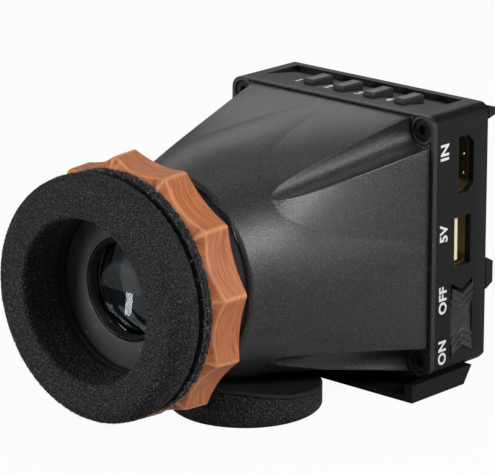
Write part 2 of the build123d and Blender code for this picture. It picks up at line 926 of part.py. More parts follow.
def make_base_plate():
    y0 = front_y - base_front
    y1 = front_y + base_back
    body = side_prism([(y0, 0), (y1, 0), (y1 + base_chamfer, base_height), (y0, base_height)], -half_width,
                      half_width)
    for sx in (-1, 1):
        ends = sorted((sx * pocket_inner, sx * (half_width - pocket_end_wall)))
        body -= block(ends[0], ends[1], y0 - 1, front_y + pocket_back, base_lip, base_height + 1)
    body -= rod_z(insert_radius + fit, 0, 0, -1, base_height + 1)
    for x, y in base_screw_places():
        body -= rod_z(base_screw_radius + screw_clearance, x, y, -1, base_height + 1)
        body -= Pos(x, y, 0.7) * Cone(base_screw_head + 0.2, base_screw_radius + screw_clearance, 1.4)
    return body


def make_base_screws():
    screws = []
    for x, y in base_screw_places():
        screw = Pos(x, y, 0.8) * Cone(base_screw_head, base_screw_radius - fit, 1.2)
        screw += rod_z(base_screw_radius - fit, x, y, 1.3, base_screw_length)
        key = extrude(Plane((x, y, 0)) * RegularPolygon(0.8, 6, major_radius=False), 1.2)
        screws.append(screw - key)
    return Compound(screws)


def make_thread_insert():
    return rod_z(insert_radius, 0, 0, 0, insert_length) - rod_z(thread_radius, 0, 0, -1, insert_depth)


# Screen stack behind the window
def framed(width, height, window_w, window_h, y0, y1):
    body = block(-width / 2, width / 2, y0, y1, axis_z - height / 2, axis_z + height / 2)
    return body - block(-window_w / 2, window_w / 2, y0 - 1, y1 + 1, axis_z - window_h / 2,
                        axis_z + window_h / 2)


def make_display_mask():
    return framed(screen_width, screen_height, window_width, window_height, wall_y, mask_y)


def make_display_glass():
    return block(-screen_width / 2, screen_width / 2, mask_y, glass_y, axis_z - screen_height / 2,
                 axis_z + screen_height / 2)


def make_display_module():
    body = block(-screen_width / 2, screen_width / 2, glass_y, module_y, axis_z - screen_height / 2,
                 axis_z + screen_height / 2)
    margin = 4.0
    tray = block(-screen_width / 2 + margin, screen_width / 2 - margin, module_y - 0.6, module_y + 1,
                 axis_z - 4, axis_z + screen_height / 2 - margin)
    return body - tray


def make_display_clamps():
    clamps = []
    outer = inner_x - 0.2
    for sx in (-1, 1):
        ends = sorted((sx * outer, sx * (outer - clamp_width)))
        bar = block(ends[0], ends[1], module_y, module_y + clamp_thickness, axis_z - clamp_height / 2,
                    axis_z + clamp_height / 2)
        for sz in (-1, 1):
            bar -= rod_y(clamp_screw_radius + fit, sx * (inner_x - clamp_post_radius),
                         axis_z + sz * clamp_screw_z,
                         module_y - 1, module_y + clamp_thickness + 1)
        clamps.append(bar)
    return Compound(clamps)


def make_clamp_screws():
    screws = []
    top = module_y + clamp_thickness
    for sx, sz in corners:
        x = sx * (inner_x - clamp_post_radius)
        z = axis_z + sz * clamp_screw_z
        screws.append(rod_y(clamp_screw_radius - fit, x, z, module_y - clamp_screw_length,
                            top) + rod_y(small_head_radius, x, z, top, top + small_head_height))
    return Compound(screws)


def make_display_flex():
    half = flex_width / 2
    bend = axis_z - flex_drop
    foot = block(-half, half, module_y, module_y + flex_thickness, bend, bend + flex_tail)
    web = block(-half, half, module_y, board_y, bend, bend + flex_thickness)
    tail = block(-half, half, board_y - flex_thickness, board_y, bend - flex_tail, bend + flex_thickness)
    return foot + web + tail


# Main board on four posts
def make_main_board():
    body = block(-board_width / 2, board_width / 2, board_y, board_y + board_thickness,
                 axis_z - board_height / 2, axis_z + board_height / 2)
    for sx, sz in corners:
        body -= rod_y(board_screw_radius + screw_clearance, sx * post_x, axis_z + sz * post_z, board_y - 1,
                      board_y + 3)
    return body


def make_board_posts():
    posts = []
    for sx, sz in corners:
        x = sx * post_x
        z = axis_z + sz * post_z
        outline = Plane((x, wall_y, z), x_dir=(1, 0, 0), z_dir=(0, -1, 0)) * RegularPolygon(post_radius, 6)
        post = extrude(outline, board_y - wall_y, dir=(0, 1, 0))
        post += rod_y(board_screw_radius - fit, x, z, wall_y - 1, wall_y + 0.5)
        posts.append(post - rod_y(board_screw_radius, x, z, board_y - post_hole_depth, board_y + 1))
    return Compound(posts)


def make_board_screws():
    screws = []
    top = board_y + board_thickness
    for sx, sz in corners:
        x = sx * post_x
        z = axis_z + sz * post_z
        screw = rod_y(board_screw_radius - fit, x, z, board_y - board_screw_length, top)
        screws.append(screw + rod_y(board_screw_head, x, z, top, top + board_screw_head_height))
    return Compound(screws)


def make_board_chips():
    chips = []
    for x, z, size in chip_rows:
        chips.append(block(x - size / 2, x + size / 2, board_y - chip_height, board_y,
                           axis_z + z - size / 2, axis_z + z + size / 2))
    return Compound(chips)


# Sockets in the side
def socket_front():
    return half_width - socket_set_back


def make_video_socket():
    half = video_mouth_width / 2
    middle = front_y + video_y
    x1 = socket_front()
    x0 = x1 - video_depth
    outer = side_prism(video_outline(middle - half - socket_wall, middle + half + socket_wall,
                                     video_mouth_height + 2 * socket_wall, recess_corner * 0.9), x0, x1)
    mouth = side_prism(video_outline(middle - half, middle + half, video_mouth_height, recess_corner * 0.8),
                       x0 + socket_wall, x1 + 1)
    foot = block(x0, x1 - socket_foot_inset, middle + half, board_y, axis_z + video_z - socket_foot,
                 axis_z + video_z + socket_foot)
    return outer + foot - mouth


def make_video_contacts():
    half = video_mouth_width / 2
    middle = front_y + video_y
    x1 = socket_front()
    x0 = x1 - video_depth + socket_wall
    core = side_prism(video_outline(middle - half, middle + half, video_mouth_height, recess_corner * 0.8),
                      x0, x0 + 2.4)
    tongue_half = video_mouth_height / 2 - video_tongue_margin
    tongue = block(x0, x1 - tongue_set_back, middle - tongue_thickness / 2, middle + tongue_thickness / 2,
                   axis_z + video_z - tongue_half, axis_z + video_z + tongue_half)
    return core + tongue


def make_power_socket():
    half = power_mouth_width / 2
    middle = front_y + power_y
    x1 = socket_front()
    x0 = x1 - power_depth
    outer = side_prism(power_outline(middle - half - socket_wall, middle + half + socket_wall,
                                     power_mouth_height + 2 * socket_wall), x0, x1)
    mouth = side_prism(power_outline(middle - half, middle + half, power_mouth_height), x0 + socket_wall,
                       x1 + 1)
    foot = block(x0, x1 - socket_foot_inset, middle + half, board_y, axis_z + power_z - socket_foot,
                 axis_z + power_z + socket_foot)
    return outer + foot - mouth


def make_power_tongue():
    half = power_mouth_width / 2
    middle = front_y + power_y
    x1 = socket_front()
    x0 = x1 - power_depth + socket_wall
    core = side_prism(power_outline(middle - half, middle + half, power_mouth_height), x0, x0 + 2.4)
    low = middle - half + 0.7
    tongue = block(x0, x1 - power_tongue_set_back, low, low + power_tongue_thickness,
                   axis_z + power_z - power_mouth_height / 2 + 0.6,
                   axis_z + power_z + power_mouth_height / 2 - 0.6)
    return core + tongue


# Power switch: a slider held in the side wall and the switch behind it on the board
def make_switch_slider():
    x0 = thin_x + slider_clearance
    x1 = half_width + slider_proud
    outline = side_prism(slot_outline(slider_gap, switch_travel + 0.1, 0.15), x0, x1)
    middle_y = front_y + (slot_front + slot_back) / 2
    high = axis_z + slot_top - switch_travel
    low = axis_z + slot_bottom
    middle_z = (high + low) / 2
    span = high - low
    curve = (span * span / 4 + slider_dish * slider_dish) / (2 * slider_dish)
    dish = Pos(x1 - slider_dish + curve, middle_y, middle_z) * Rot(90, 0, 0) * Cylinder(curve, housing_length)
    crest_x = x1 - slider_dish + rib_height + curve
    crest = Pos(crest_x, middle_y, middle_z) * Rot(90, 0, 0) * Cylinder(curve, housing_length)
    body = outline - dish
    half = (slot_back - slot_front) / 2 - slider_gap
    for sz in (-1, 1):
        for n in range(rib_count):
            tip = middle_z + sz * (rib_start + n * rib_pitch)
            rib = side_prism([(middle_y - half, tip + sz * slot_notch), (middle_y, tip),
                              (middle_y + half, tip + sz * slot_notch),
                              (middle_y + half, tip + sz * (slot_notch + rib_width)), (middle_y,
                                                                                       tip + sz * rib_width),
                              (middle_y - half, tip + sz * (slot_notch + rib_width))], x0, x1)
            body += (rib & outline) - crest
    flange_half = (slot_back - slot_front) / 2 + flange_reach
    back = thin_x - slider_clearance - switch_flange
    body += block(back, thin_x - slider_clearance, middle_y - flange_half, middle_y + flange_half,
                  axis_z + flange_low, axis_z + flange_high)
    body += block(back, x0 + 0.1, middle_y - half, middle_y + half,
                  axis_z + flange_low, axis_z + slot_top - switch_travel - slot_notch - 0.4)
    lever_z = switch_level()
    return body + block(inner_x - 2.2, back + 0.1, middle_y - lever_width / 2, middle_y + lever_width / 2,
                        lever_z - lever_width / 2, lever_z + lever_width / 2)


def switch_level():
    return axis_z + (slot_top + slot_bottom - switch_travel) / 2


def make_switch_body():
    middle_y = front_y + (slot_front + slot_back) / 2
    x1 = inner_x - 0.9
    half = lever_width / 2 + 0.3
    level = switch_level()
    body = block(x1 - switch_depth, x1, board_y - switch_width - 1.6, board_y, level - switch_height / 2,
                 level + switch_height / 2)
    return body - block(x1 - 1.8, x1 + 1, middle_y - half, middle_y + half, level - half,
                        level + half + switch_travel)


# Top buttons, their switches and the board that carries them
def make_button(x):
    y = front_y + button_y
    floor = well_floor(y)
    top = floor + button_proud
    flange_high = axis_z + inner_z - button_flange_gap
    flange_low = flange_high - button_flange_height
    y0 = y - button_length / 2
    cap = block(x - button_width / 2, x + button_width / 2, y0, y + button_length / 2, flange_high, top)
    edges = cap.faces().sort_by(Axis.Z)[-1].edges()
    body = fillet(edges, button_round)
    body += block(x - button_width / 2 - button_flange, x + button_width / 2 + button_flange,
                  y0 - button_flange, y + button_length / 2 + button_flange, flange_low, flange_high)
    return body + rod_z(button_stem_radius, x, y, flange_low - button_stem_length, flange_low)


def make_button_board():
    top = button_board_top()
    y = front_y + button_y
    body = block(-button_board_left, button_board_right, front_y + button_board_front,
                 front_y + button_board_back,
                 top - button_board_thickness, top)
    for x in (-button_board_left + button_boss_inset, button_board_right - button_boss_inset):
        body -= rod_z(clamp_screw_radius + fit, x, y, top - 3, top + 1)
    return body


def make_button_switches():
    top = button_board_top()
    y = front_y + button_y
    switches = []
    for x in button_places():
        body = block(x - tact_size / 2, x + tact_size / 2, y - tact_size / 2, y + tact_size / 2, top,
                     top + tact_height)
        switches.append(body + rod_z(tact_nub_radius, x, y, top + tact_height, top + tact_height + tact_nub))
    return Compound(switches)


def make_button_board_screws():
    low = button_board_top() - button_board_thickness
    y = front_y + button_y
    screws = []
    for x in (-button_board_left + button_boss_inset, button_board_right - button_boss_inset):
        screws.append(rod_z(clamp_screw_radius - fit, x, y, low,
                            low + button_screw_length) + rod_z(small_head_radius, x, y,
                                                               low - small_head_height, low))
    return Compound(screws)


# Foam pad under the hood, with its top pressed down along the hood's lowest line
def pad_disc(z0, z1):
    return rod_z(pad_radius, pad_x, front_y - pad_distance, z0, z1)


def hood_room(gap):
    profile = ((hood_length, rim_radius), (hood_side_run, flare_neck_radius),
               (flare_shoulder, flare_shoulder_radius),
               (flare_waist, flare_waist_radius), (0, hood_half_height))
    points = [(front_y - distance, axis_z - radius - gap) for distance, radius in profile]
    return side_prism(points + [(front_y, axis_z), (rim_y, axis_z)], -half_width, half_width)


def make_rest_pad():
    body = pad_disc(0, pad_height - pad_loop)
    rim = body.faces().sort_by(Axis.Z)[0].edges()
    return fillet(rim, pad_round) - hood_room(pad_gap + pad_loop)


def make_rest_pad_loop():
    foam = pad_disc(0, pad_height - pad_loop) - hood_room(pad_gap + pad_loop)
    return pad_disc(0, pad_height) - hood_room(pad_gap) - foam


save(make_hood(), "hood_body")
save(make_hood_screws(), "hood_screws")
save(make_neck_sleeve(), "neck_sleeve")
save(make_focus_ring(), "focus_ring")
save(make_ring_insert(), "ring_insert")
save(make_hook_ring(), "hook_ring")
save(make_loop_ring(), "loop_ring")
save(make_foam_eyecup(), "foam_eyecup")
save(make_lens_cell(), "lens_cell")
save(make_guide_keys(), "guide_keys")
save(make_eye_plate(), "eye_plate")
save(make_eye_bezel(), "eye_bezel")
save(make_eye_lens(), "eye_lens")
save(make_spacer_tube(), "spacer_tube")
save(make_field_lens(), "field_lens")
save(make_field_ring(), "field_ring")
save(make_front_frame(), "front_frame")
save(make_housing(), "screen_housing")
save(make_corner_screws(), "corner_screws")
save(make_rear_cover(), "rear_cover")
save(make_lower_rail(), "lower_rail")
save(make_upper_rail(), "upper_rail")
save(make_rail_screws(), "rail_screws")
save(make_base_plate(), "base_plate")
save(make_base_screws(), "base_screws")
save(make_thread_insert(), "thread_insert")
save(make_display_mask(), "display_mask")
save(make_display_glass(), "display_glass")
save(make_display_module(), "display_module")
save(make_display_clamps(), "display_clamps")
save(make_clamp_screws(), "clamp_screws")
save(make_display_flex(), "display_flex")
save(make_main_board(), "main_board")
save(make_board_posts(), "board_posts")
save(make_board_screws(), "board_screws")
save(make_board_chips(), "board_chips")
save(make_video_socket(), "video_socket")
save(make_video_contacts(), "video_contacts")
save(make_power_socket(), "power_socket")
save(make_power_tongue(), "power_tongue")
save(make_switch_slider(), "switch_slider")
save(make_switch_body(), "switch_body")
save(make_button_board(), "button_board")
save(make_button_switches(), "button_switches")
save(make_button_board_screws(), "button_board_screws")
for number, place in enumerate(button_places(), start=1):
    save(make_button(place), f"button_{number}")
save(make_rest_pad(), "rest_pad")
save(make_rest_pad_loop(), "rest_pad_loop")
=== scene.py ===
import bpy
import bmesh
import math
import random
from mathutils import Matrix, Vector, noise


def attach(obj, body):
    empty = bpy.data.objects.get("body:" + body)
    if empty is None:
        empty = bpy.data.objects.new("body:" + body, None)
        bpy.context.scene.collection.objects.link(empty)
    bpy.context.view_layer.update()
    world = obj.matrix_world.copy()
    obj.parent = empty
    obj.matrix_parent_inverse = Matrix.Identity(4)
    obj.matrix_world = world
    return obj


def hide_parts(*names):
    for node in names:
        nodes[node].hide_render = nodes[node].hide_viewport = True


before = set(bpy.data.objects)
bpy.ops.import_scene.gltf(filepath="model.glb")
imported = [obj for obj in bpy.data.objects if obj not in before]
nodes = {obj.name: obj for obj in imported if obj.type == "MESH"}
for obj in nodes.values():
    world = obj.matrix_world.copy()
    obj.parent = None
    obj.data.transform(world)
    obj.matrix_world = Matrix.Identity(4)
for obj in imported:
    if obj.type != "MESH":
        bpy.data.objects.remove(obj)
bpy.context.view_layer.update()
mm = 0.001
mergeGap = 0.0008  # points closer than this, in millimetres, are one

# the optical axis and the hood's back plane, in millimetres as everywhere below
axisZ = 39.6
frontY = -7.0


# small helpers

# a bmesh in millimetres becomes an object in metres that rides on its body
def finishPiece(name, bm, material, body, replaces=(), smoothAngle=32, outward=True):
    if outward:
        bmesh.ops.recalc_face_normals(bm, faces=bm.faces)
    bmesh.ops.transform(bm, matrix=Matrix.Scale(mm, 4), verts=bm.verts)
    mesh = bpy.data.meshes.new(name)
    bm.to_mesh(mesh)
    bm.free()
    return placeMesh(name, mesh, material, body, replaces, smoothAngle)


def placeMesh(name, mesh, material, body, replaces=(), smoothAngle=32):
    piece = bpy.data.objects.new(name, mesh)
    bpy.context.scene.collection.objects.link(piece)
    mesh.materials.clear()
    mesh.materials.append(material)
    mesh.shade_smooth()
    mesh.set_sharp_from_angle(angle=math.radians(smoothAngle))
    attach(piece, body)
    if replaces:
        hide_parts(*replaces)
    return piece


# a wire's corners are rounded and its long edges divided
def refineWire(bm, verts, rounds, segments, spacing):
    for vert, amount in zip(verts, rounds):
        if amount:
            bmesh.ops.bevel(bm, geom=[vert], offset=amount, segments=segments, profile=0.5,
                            affect="VERTICES", material=-1)
    if spacing:
        for edge in [e for e in bm.edges if e.calc_length() > 1.5 * spacing]:
            bmesh.ops.subdivide_edges(bm, edges=[edge], cuts=int(edge.calc_length() / spacing))


# a wire of (radius, y) points in the plane through the axis
def profileWire(points, rounds=None, segments=5, spacing=None, closed=True):
    bm = bmesh.new()
    verts = [bm.verts.new((r, y, axisZ)) for r, y in points]
    for pair in zip(verts, verts[1:]):
        bm.edges.new(pair)
    if closed:
        bm.edges.new((verts[-1], verts[0]))
    refineWire(bm, verts, rounds or [], segments, spacing)
    return bm


# a wire or strip turned all the way round: one narrow wedge is spun, then doubled until the turn is full
def spinWhole(bm, centre, axis, steps):
    spokes = 32  # steps are a multiple of this
    bmesh.ops.spin(bm, geom=bm.verts[:] + bm.edges[:], cent=centre, axis=axis, dvec=(0, 0, 0),
                   angle=math.tau / spokes, steps=steps // spokes, use_merge=False)
    angle = math.tau / spokes
    while angle < math.tau - 0.001:
        copied = bmesh.ops.duplicate(bm, geom=bm.verts[:] + bm.edges[:] + bm.faces[:])["geom"]
        bmesh.ops.rotate(bm, cent=centre, matrix=Matrix.Rotation(angle, 3, axis),
                         verts=[g for g in copied if isinstance(g, bmesh.types.BMVert)])
        angle *= 2
    bmesh.ops.remove_doubles(bm, verts=bm.verts, dist=mergeGap)


# the wire turned round the optical axis
def turned(points, rounds=None, segments=5, spacing=None, steps=192, closed=True):
    bm = profileWire(points, rounds, segments, spacing, closed)
    spinWhole(bm, (0, 0, axisZ), (0, 1, 0), steps)
    return bm


def softenEdges(piece, width):
    bevel = piece.modifiers.new("softEdges", "BEVEL")
    bevel.width = width * mm
    bevel.segments = 2
    bevel.limit_method = "ANGLE"
    bevel.angle_limit = math.radians(35)
    bevel.profile = 0.5
    bevel.harden_normals = True
    return piece


# a merged copy of a CAD solid whose edges get a small round
def dressedCopy(node, material, body, width):
    bm = bmesh.new()
    bm.from_mesh(nodes[node].data)
    bmesh.ops.remove_doubles(bm, verts=bm.verts, dist=1e-6)
    bmesh.ops.dissolve_limit(bm, angle_limit=math.radians(0.3), verts=bm.verts, edges=bm.edges)
    mesh = bpy.data.meshes.new(node + "Dressed")
    bm.to_mesh(mesh)
    bm.free()
    return softenEdges(placeMesh(node + "Dressed", mesh, material, body, (node,), 30), width)


def angleOf(vert):
    return math.atan2(vert.co.z - axisZ, vert.co.x)


def radiusOf(vert):
    return math.hypot(vert.co.x, vert.co.z - axisZ)


def setPolar(vert, radius, angle):
    vert.co.x = radius * math.cos(angle)
    vert.co.z = axisZ + radius * math.sin(angle)


def softMin(a, b, k):
    h = max(k - abs(a - b), 0) / k
    return min(a, b) - h * h * k * 0.25


def ramp(low, high, x):
    t = min(max((x - low) / (high - low), 0), 1)
    return t * t * (3 - 2 * t)


labelStyle = {"capShare": 0.7, "boldness": 0.045, "spacing": 1.05, "resolution": 6}


# a word as a flat mesh on a face, read along one direction with its tops towards another
def makeWord(name, text, material, body, height, middle, along, tops):
    curve = bpy.data.curves.new(name + "Curve", "FONT")
    curve.body = text
    curve.align_x = "CENTER"
    curve.align_y = "CENTER"
    curve.size = height / labelStyle["capShare"] * mm
    curve.offset = height * labelStyle["boldness"] * mm
    curve.space_character = labelStyle["spacing"]
    curve.resolution_u = labelStyle["resolution"]
    maker = bpy.data.objects.new(name + "Maker", curve)
    bpy.context.scene.collection.objects.link(maker)
    mesh = bpy.data.meshes.new_from_object(maker.evaluated_get(bpy.context.evaluated_depsgraph_get()))
    bpy.data.objects.remove(maker)
    along, tops = Vector(along), Vector(tops)
    turn = Matrix((along, tops, along.cross(tops))).transposed().to_4x4()
    mesh.transform(Matrix.Translation(Vector(middle) * mm) @ turn)
    mesh.name = name
    piece = placeMesh(name, mesh, material, body)
    return piece


# shader helpers, and the groups that several finishes share

def newMaterial(name, color, roughness, metallic=0.0, specular=0.5):
    material = bpy.data.materials.new(name)
    material.use_nodes = True
    shader = material.node_tree.nodes["Principled BSDF"]
    shader.inputs["Base Color"].default_value = (*color, 1)
    shader.inputs["Roughness"].default_value = roughness
    shader.inputs["Metallic"].default_value = metallic
    shader.inputs["Specular IOR Level"].default_value = specular
    return material, material.node_tree, shader


# each socket is named with either a fixed value or the socket that feeds it
def addNode(tree, kind, links=None, **settings):
    node = tree.nodes.new(kind)
    for key, value in settings.items():
        setattr(node, key, value)
    for socket, source in (links or {}).items():
        feed(tree, node.inputs[socket], source)
    return node


def feed(tree, socket, source):
    if isinstance(source, bpy.types.NodeSocket):
        tree.links.new(source, socket)
    elif isinstance(source, tuple) and len(source) == 3 and socket.type == "RGBA":
        socket.default_value = (*source, 1)
    else:
        socket.default_value = source


def maths(tree, operation, *values):
    return addNode(tree, "ShaderNodeMath", dict(enumerate(values)), operation=operation).outputs[0]


def clamped(tree, value):
    return addNode(tree, "ShaderNodeClamp", {"Value": value}).outputs[0]


# how far a value stands above a level, times a gain, held between 0 and 1
def above(tree, value, level, gain):
    return clamped(tree, maths(tree, "MULTIPLY", maths(tree, "SUBTRACT", value, level), gain))


def mixColor(tree, factor, a, b):
    return addNode(tree, "ShaderNodeMix", {0: factor, 6: a, 7: b}, data_type="RGBA").outputs[2]


def stretched(tree, vector, scale):
    return addNode(tree, "ShaderNodeMapping", {"Vector": vector, "Scale": scale}).outputs[0]


def newGroup(name, inputs, outputs):
    group = bpy.data.node_groups.new(name, "ShaderNodeTree")
    for title, kind, value in inputs:
        socket = group.interface.new_socket(title, in_out="INPUT", socket_type="NodeSocket" + kind)
        if value is not None:
            socket.default_value = value
    for title, kind in outputs:
        group.interface.new_socket(title, in_out="OUTPUT", socket_type="NodeSocket" + kind)
    return group, group.nodes.new("NodeGroupInput").outputs, group.nodes.new("NodeGroupOutput").inputs


# the fine grains of a sprayed coat: which grains get a painted glint, their height and slow patches
def makePaintGrain():
    inputs = [("Vector", "Vector", None), ("Scale", "Float", 2600.0), ("Contrast", "Float", 1.0)]
    outputs = [("Glint", "Float"), ("Height", "Float"), ("Patch", "Float")]
    group, inlet, outlet = newGroup("paintGrain", inputs, outputs)
    fine = addNode(group, "ShaderNodeTexNoise",
                   {"Vector": inlet["Vector"], "Scale": inlet["Scale"], "Detail": 2.0, "Roughness": 0.6})
    slow = addNode(group, "ShaderNodeTexNoise", {"Vector": inlet["Vector"], "Scale": 55.0, "Detail": 3.0})
    lit = maths(group, "MULTIPLY", maths(group, "SUBTRACT", fine.outputs["Fac"], 0.55), 7.0)
    group.links.new(clamped(group, maths(group, "MULTIPLY", lit, inlet["Contrast"])), outlet["Glint"])
    group.links.new(fine.outputs["Fac"], outlet["Height"])
    group.links.new(slow.outputs["Fac"], outlet["Patch"])
    return group


# faint scratches and dust that every hard surface carries
def makeWear():
    group, inlet, outlet = newGroup("lightWear", [("Vector", "Vector", None), ("Amount", "Float", 0.1)],
                                    [("Roughness", "Float"), ("Dust", "Float")])
    smear = addNode(group, "ShaderNodeTexNoise",
                    {"Vector": stretched(group, inlet["Vector"], (60, 240, 60)), "Scale": 1.0, "Detail": 4.0})
    specks = addNode(group, "ShaderNodeTexNoise", {"Vector": inlet["Vector"], "Scale": 700.0, "Detail": 1.0})
    uneven = maths(group, "SUBTRACT", smear.outputs["Fac"], 0.5)
    group.links.new(maths(group, "MULTIPLY", uneven, inlet["Amount"]), outlet["Roughness"])
    group.links.new(above(group, specks.outputs["Fac"], 0.68, 9.0), outlet["Dust"])
    return group


paintGrain = makePaintGrain()
lightWear = makeWear()


def coatedFinish(name, look):
    material, tree, shader = newMaterial(name, look["color"], look["roughness"], look.get("metallic", 0.0),
                                         look.get("specular", 0.5))
    place = addNode(tree, "ShaderNodeTexCoord").outputs["Object"]
    grain = addNode(tree, "ShaderNodeGroup", node_tree=paintGrain)
    feed(tree, grain.inputs["Vector"], place)
    feed(tree, grain.inputs["Scale"], look["grainScale"])
    feed(tree, grain.inputs["Contrast"], look.get("contrast", 1.0))
    # the paler grains are painted glints, a grainy sparkle standing in for light caught by the coat
    color = mixColor(tree, grain.outputs["Glint"], look["color"], look["glintColor"])
    feed(tree, shader.inputs["Base Color"], color)
    patchy = maths(tree, "MULTIPLY_ADD", grain.outputs["Patch"], 0.12, look["roughness"] - 0.06)
    feed(tree, shader.inputs["Roughness"], patchy)
    bump = addNode(tree, "ShaderNodeBump", {
        "Height": grain.outputs["Height"], "Strength": look["bump"], "Distance": look["depth"] * mm})
    feed(tree, shader.inputs["Normal"], bump.outputs["Normal"])
    return material


def smoothFinish(name, look):
    material, tree, shader = newMaterial(name, look["color"], look["roughness"], look.get("metallic", 0.0),
                                         look.get("specular", 0.5))
    place = addNode(tree, "ShaderNodeTexCoord").outputs["Object"]
    wear = addNode(tree, "ShaderNodeGroup", node_tree=lightWear)
    feed(tree, wear.inputs["Vector"], place)
    feed(tree, wear.inputs["Amount"], look.get("wear", 0.12))
    dusty = maths(tree, "MULTIPLY", wear.outputs["Dust"], look.get("dust", 0.25))
    color = mixColor(tree, dusty, look["color"], look.get("dustColor", (0.12, 0.12, 0.12)))
    feed(tree, shader.inputs["Base Color"], color)
    feed(tree, shader.inputs["Roughness"], maths(tree, "ADD", wear.outputs["Roughness"], look["roughness"]))
    return material


hoodPaint = coatedFinish("hoodPaint", {
    "color": (0.009, 0.0085, 0.008), "glintColor": (0.085, 0.083, 0.080), "roughness": 0.35,
    "grainScale": 2900, "bump": 1.0, "depth": 0.075, "specular": 0.5, "contrast": 0.8})
framePaint = coatedFinish("framePaint", {
    "color": (0.009, 0.009, 0.010), "glintColor": (0.05, 0.05, 0.052), "roughness": 0.45,
    "grainScale": 1900, "bump": 1.0, "depth": 0.09, "specular": 0.45})
housingPaint = coatedFinish("housingPaint", {
    "color": (0.005, 0.005, 0.0055), "glintColor": (0.010, 0.010, 0.011), "roughness": 0.42,
    "grainScale": 3600, "bump": 0.3, "depth": 0.03, "specular": 0.16})
blackMetal = coatedFinish("blackMetal", {
    "color": (0.006, 0.006, 0.0065), "glintColor": (0.011, 0.011, 0.012), "roughness": 0.55,
    "grainScale": 4200, "bump": 0.15, "depth": 0.02, "specular": 0.2})
screwBlack = smoothFinish("screwBlack", {
    "color": (0.016, 0.016, 0.018), "roughness": 0.3, "metallic": 0.6, "dust": 0.15})
platePlastic = smoothFinish("platePlastic", {
    "color": (0.020, 0.020, 0.022), "roughness": 0.5, "dust": 0.35, "dustColor": (0.2, 0.2, 0.2)})
bezelPlastic = smoothFinish("bezelPlastic", {"color": (0.010, 0.010, 0.010), "roughness": 0.28, "dust": 0.2})
buttonPlastic = smoothFinish("buttonPlastic", {"color": (0.014, 0.014, 0.015), "roughness": 0.33, "dust": 0.2})
blackPlastic = smoothFinish("blackPlastic", {"color": (0.010, 0.010, 0.010), "roughness": 0.4})
creamPlastic = smoothFinish("creamPlastic", {
    "color": (0.72, 0.62, 0.42), "roughness": 0.45, "dust": 0.1, "dustColor": (0.5, 0.42, 0.28)})
goldPlate = smoothFinish("goldPlate", {
    "color": (0.34, 0.26, 0.11), "roughness": 0.33, "metallic": 1.0, "dust": 0.2,
    "dustColor": (0.3, 0.2, 0.1)})
brassFinish = smoothFinish("turnedBrass", {"color": (0.60, 0.44, 0.19), "roughness": 0.3, "metallic": 1.0})
steelFinish = smoothFinish("plainSteel", {"color": (0.42, 0.42, 0.43), "roughness": 0.3, "metallic": 1.0})
labelInk = smoothFinish("labelInk", {
    "color": (0.62, 0.61, 0.59), "roughness": 0.55, "dust": 0.3, "dustColor": (0.5, 0.5, 0.5)})


# oiled wood: streaks run round the ring along each flute, paler at the crests and edges, partly worn wood and
# partly a painted highlight
def makeWoodFinish():
    look = {"light": (0.50, 0.175, 0.060), "middle": (0.27, 0.072, 0.024), "dark": (0.075, 0.016, 0.007),
            "wornHighlight": (0.60, 0.27, 0.12), "roughness": 0.5}
    material, tree, shader = newMaterial("oiledWood", look["middle"], look["roughness"], specular=0.35)
    place = addNode(tree, "ShaderNodeUVMap", uv_map="turn").outputs["UV"]
    bands = addNode(tree, "ShaderNodeTexNoise", {
        "Vector": stretched(tree, place, (18, 15, 1)), "Scale": 1.0, "Detail": 5.0, "Roughness": 0.65,
        "Distortion": 0.1})
    pores = addNode(tree, "ShaderNodeTexNoise", {
        "Vector": stretched(tree, place, (34, 27, 1)), "Scale": 1.0, "Detail": 5.0, "Roughness": 0.72,
        "Distortion": 0.05})
    base = addNode(tree, "ShaderNodeValToRGB", {"Fac": bands.outputs["Fac"]})
    low, high = base.color_ramp.elements
    low.position, high.position = 0.34, 0.68
    low.color, high.color = (*look["middle"], 1), (*look["light"], 1)
    streak = above(tree, pores.outputs["Fac"], 0.52, 6.0)
    grained = mixColor(tree, maths(tree, "MULTIPLY", streak, 0.85), base.outputs["Color"], look["dark"])
    # the wear attribute paints the crests and edges paler: worn wood and a painted highlight
    wornHighlight = addNode(tree, "ShaderNodeAttribute", attribute_name="wear").outputs["Fac"]
    color = mixColor(tree, maths(tree, "MULTIPLY", wornHighlight, 0.7), grained, look["wornHighlight"])
    feed(tree, shader.inputs["Base Color"], color)
    rough = maths(tree, "MULTIPLY_ADD", pores.outputs["Fac"], 0.25, look["roughness"] - 0.12)
    feed(tree, shader.inputs["Roughness"], rough)
    bump = addNode(tree, "ShaderNodeBump", {
        "Height": pores.outputs["Fac"], "Strength": 0.5, "Distance": 0.12 * mm})
    feed(tree, shader.inputs["Normal"], bump.outputs["Normal"])
    return material


# open foam: the hollows between the struts are painted darker as painted shade, by an attribute made with the
# shape; fine specks are painted glints
def makeFoamFinish():
    look = {"hollowShade": (0.0015, 0.0015, 0.0015), "strut": (0.0055, 0.0055, 0.0058), "paintedGlint": (0.12, 0.12, 0.118)}
    material, tree, shader = newMaterial("openFoam", look["strut"], 0.75, specular=0.25)
    place = addNode(tree, "ShaderNodeTexCoord").outputs["Object"]
    strut = addNode(tree, "ShaderNodeAttribute", attribute_name="strut")
    # fine specks on the struts get a painted glint
    fine = addNode(tree, "ShaderNodeTexNoise", {"Vector": place, "Scale": 4200.0, "Detail": 1.0})
    paintedGlint = above(tree, fine.outputs["Fac"], 0.57, 12.0)
    bright = mixColor(tree, maths(tree, "MULTIPLY", paintedGlint, 0.8), look["strut"], look["paintedGlint"])
    feed(tree, shader.inputs["Base Color"], mixColor(tree, strut.outputs["Fac"], look["hollowShade"], bright))
    return material


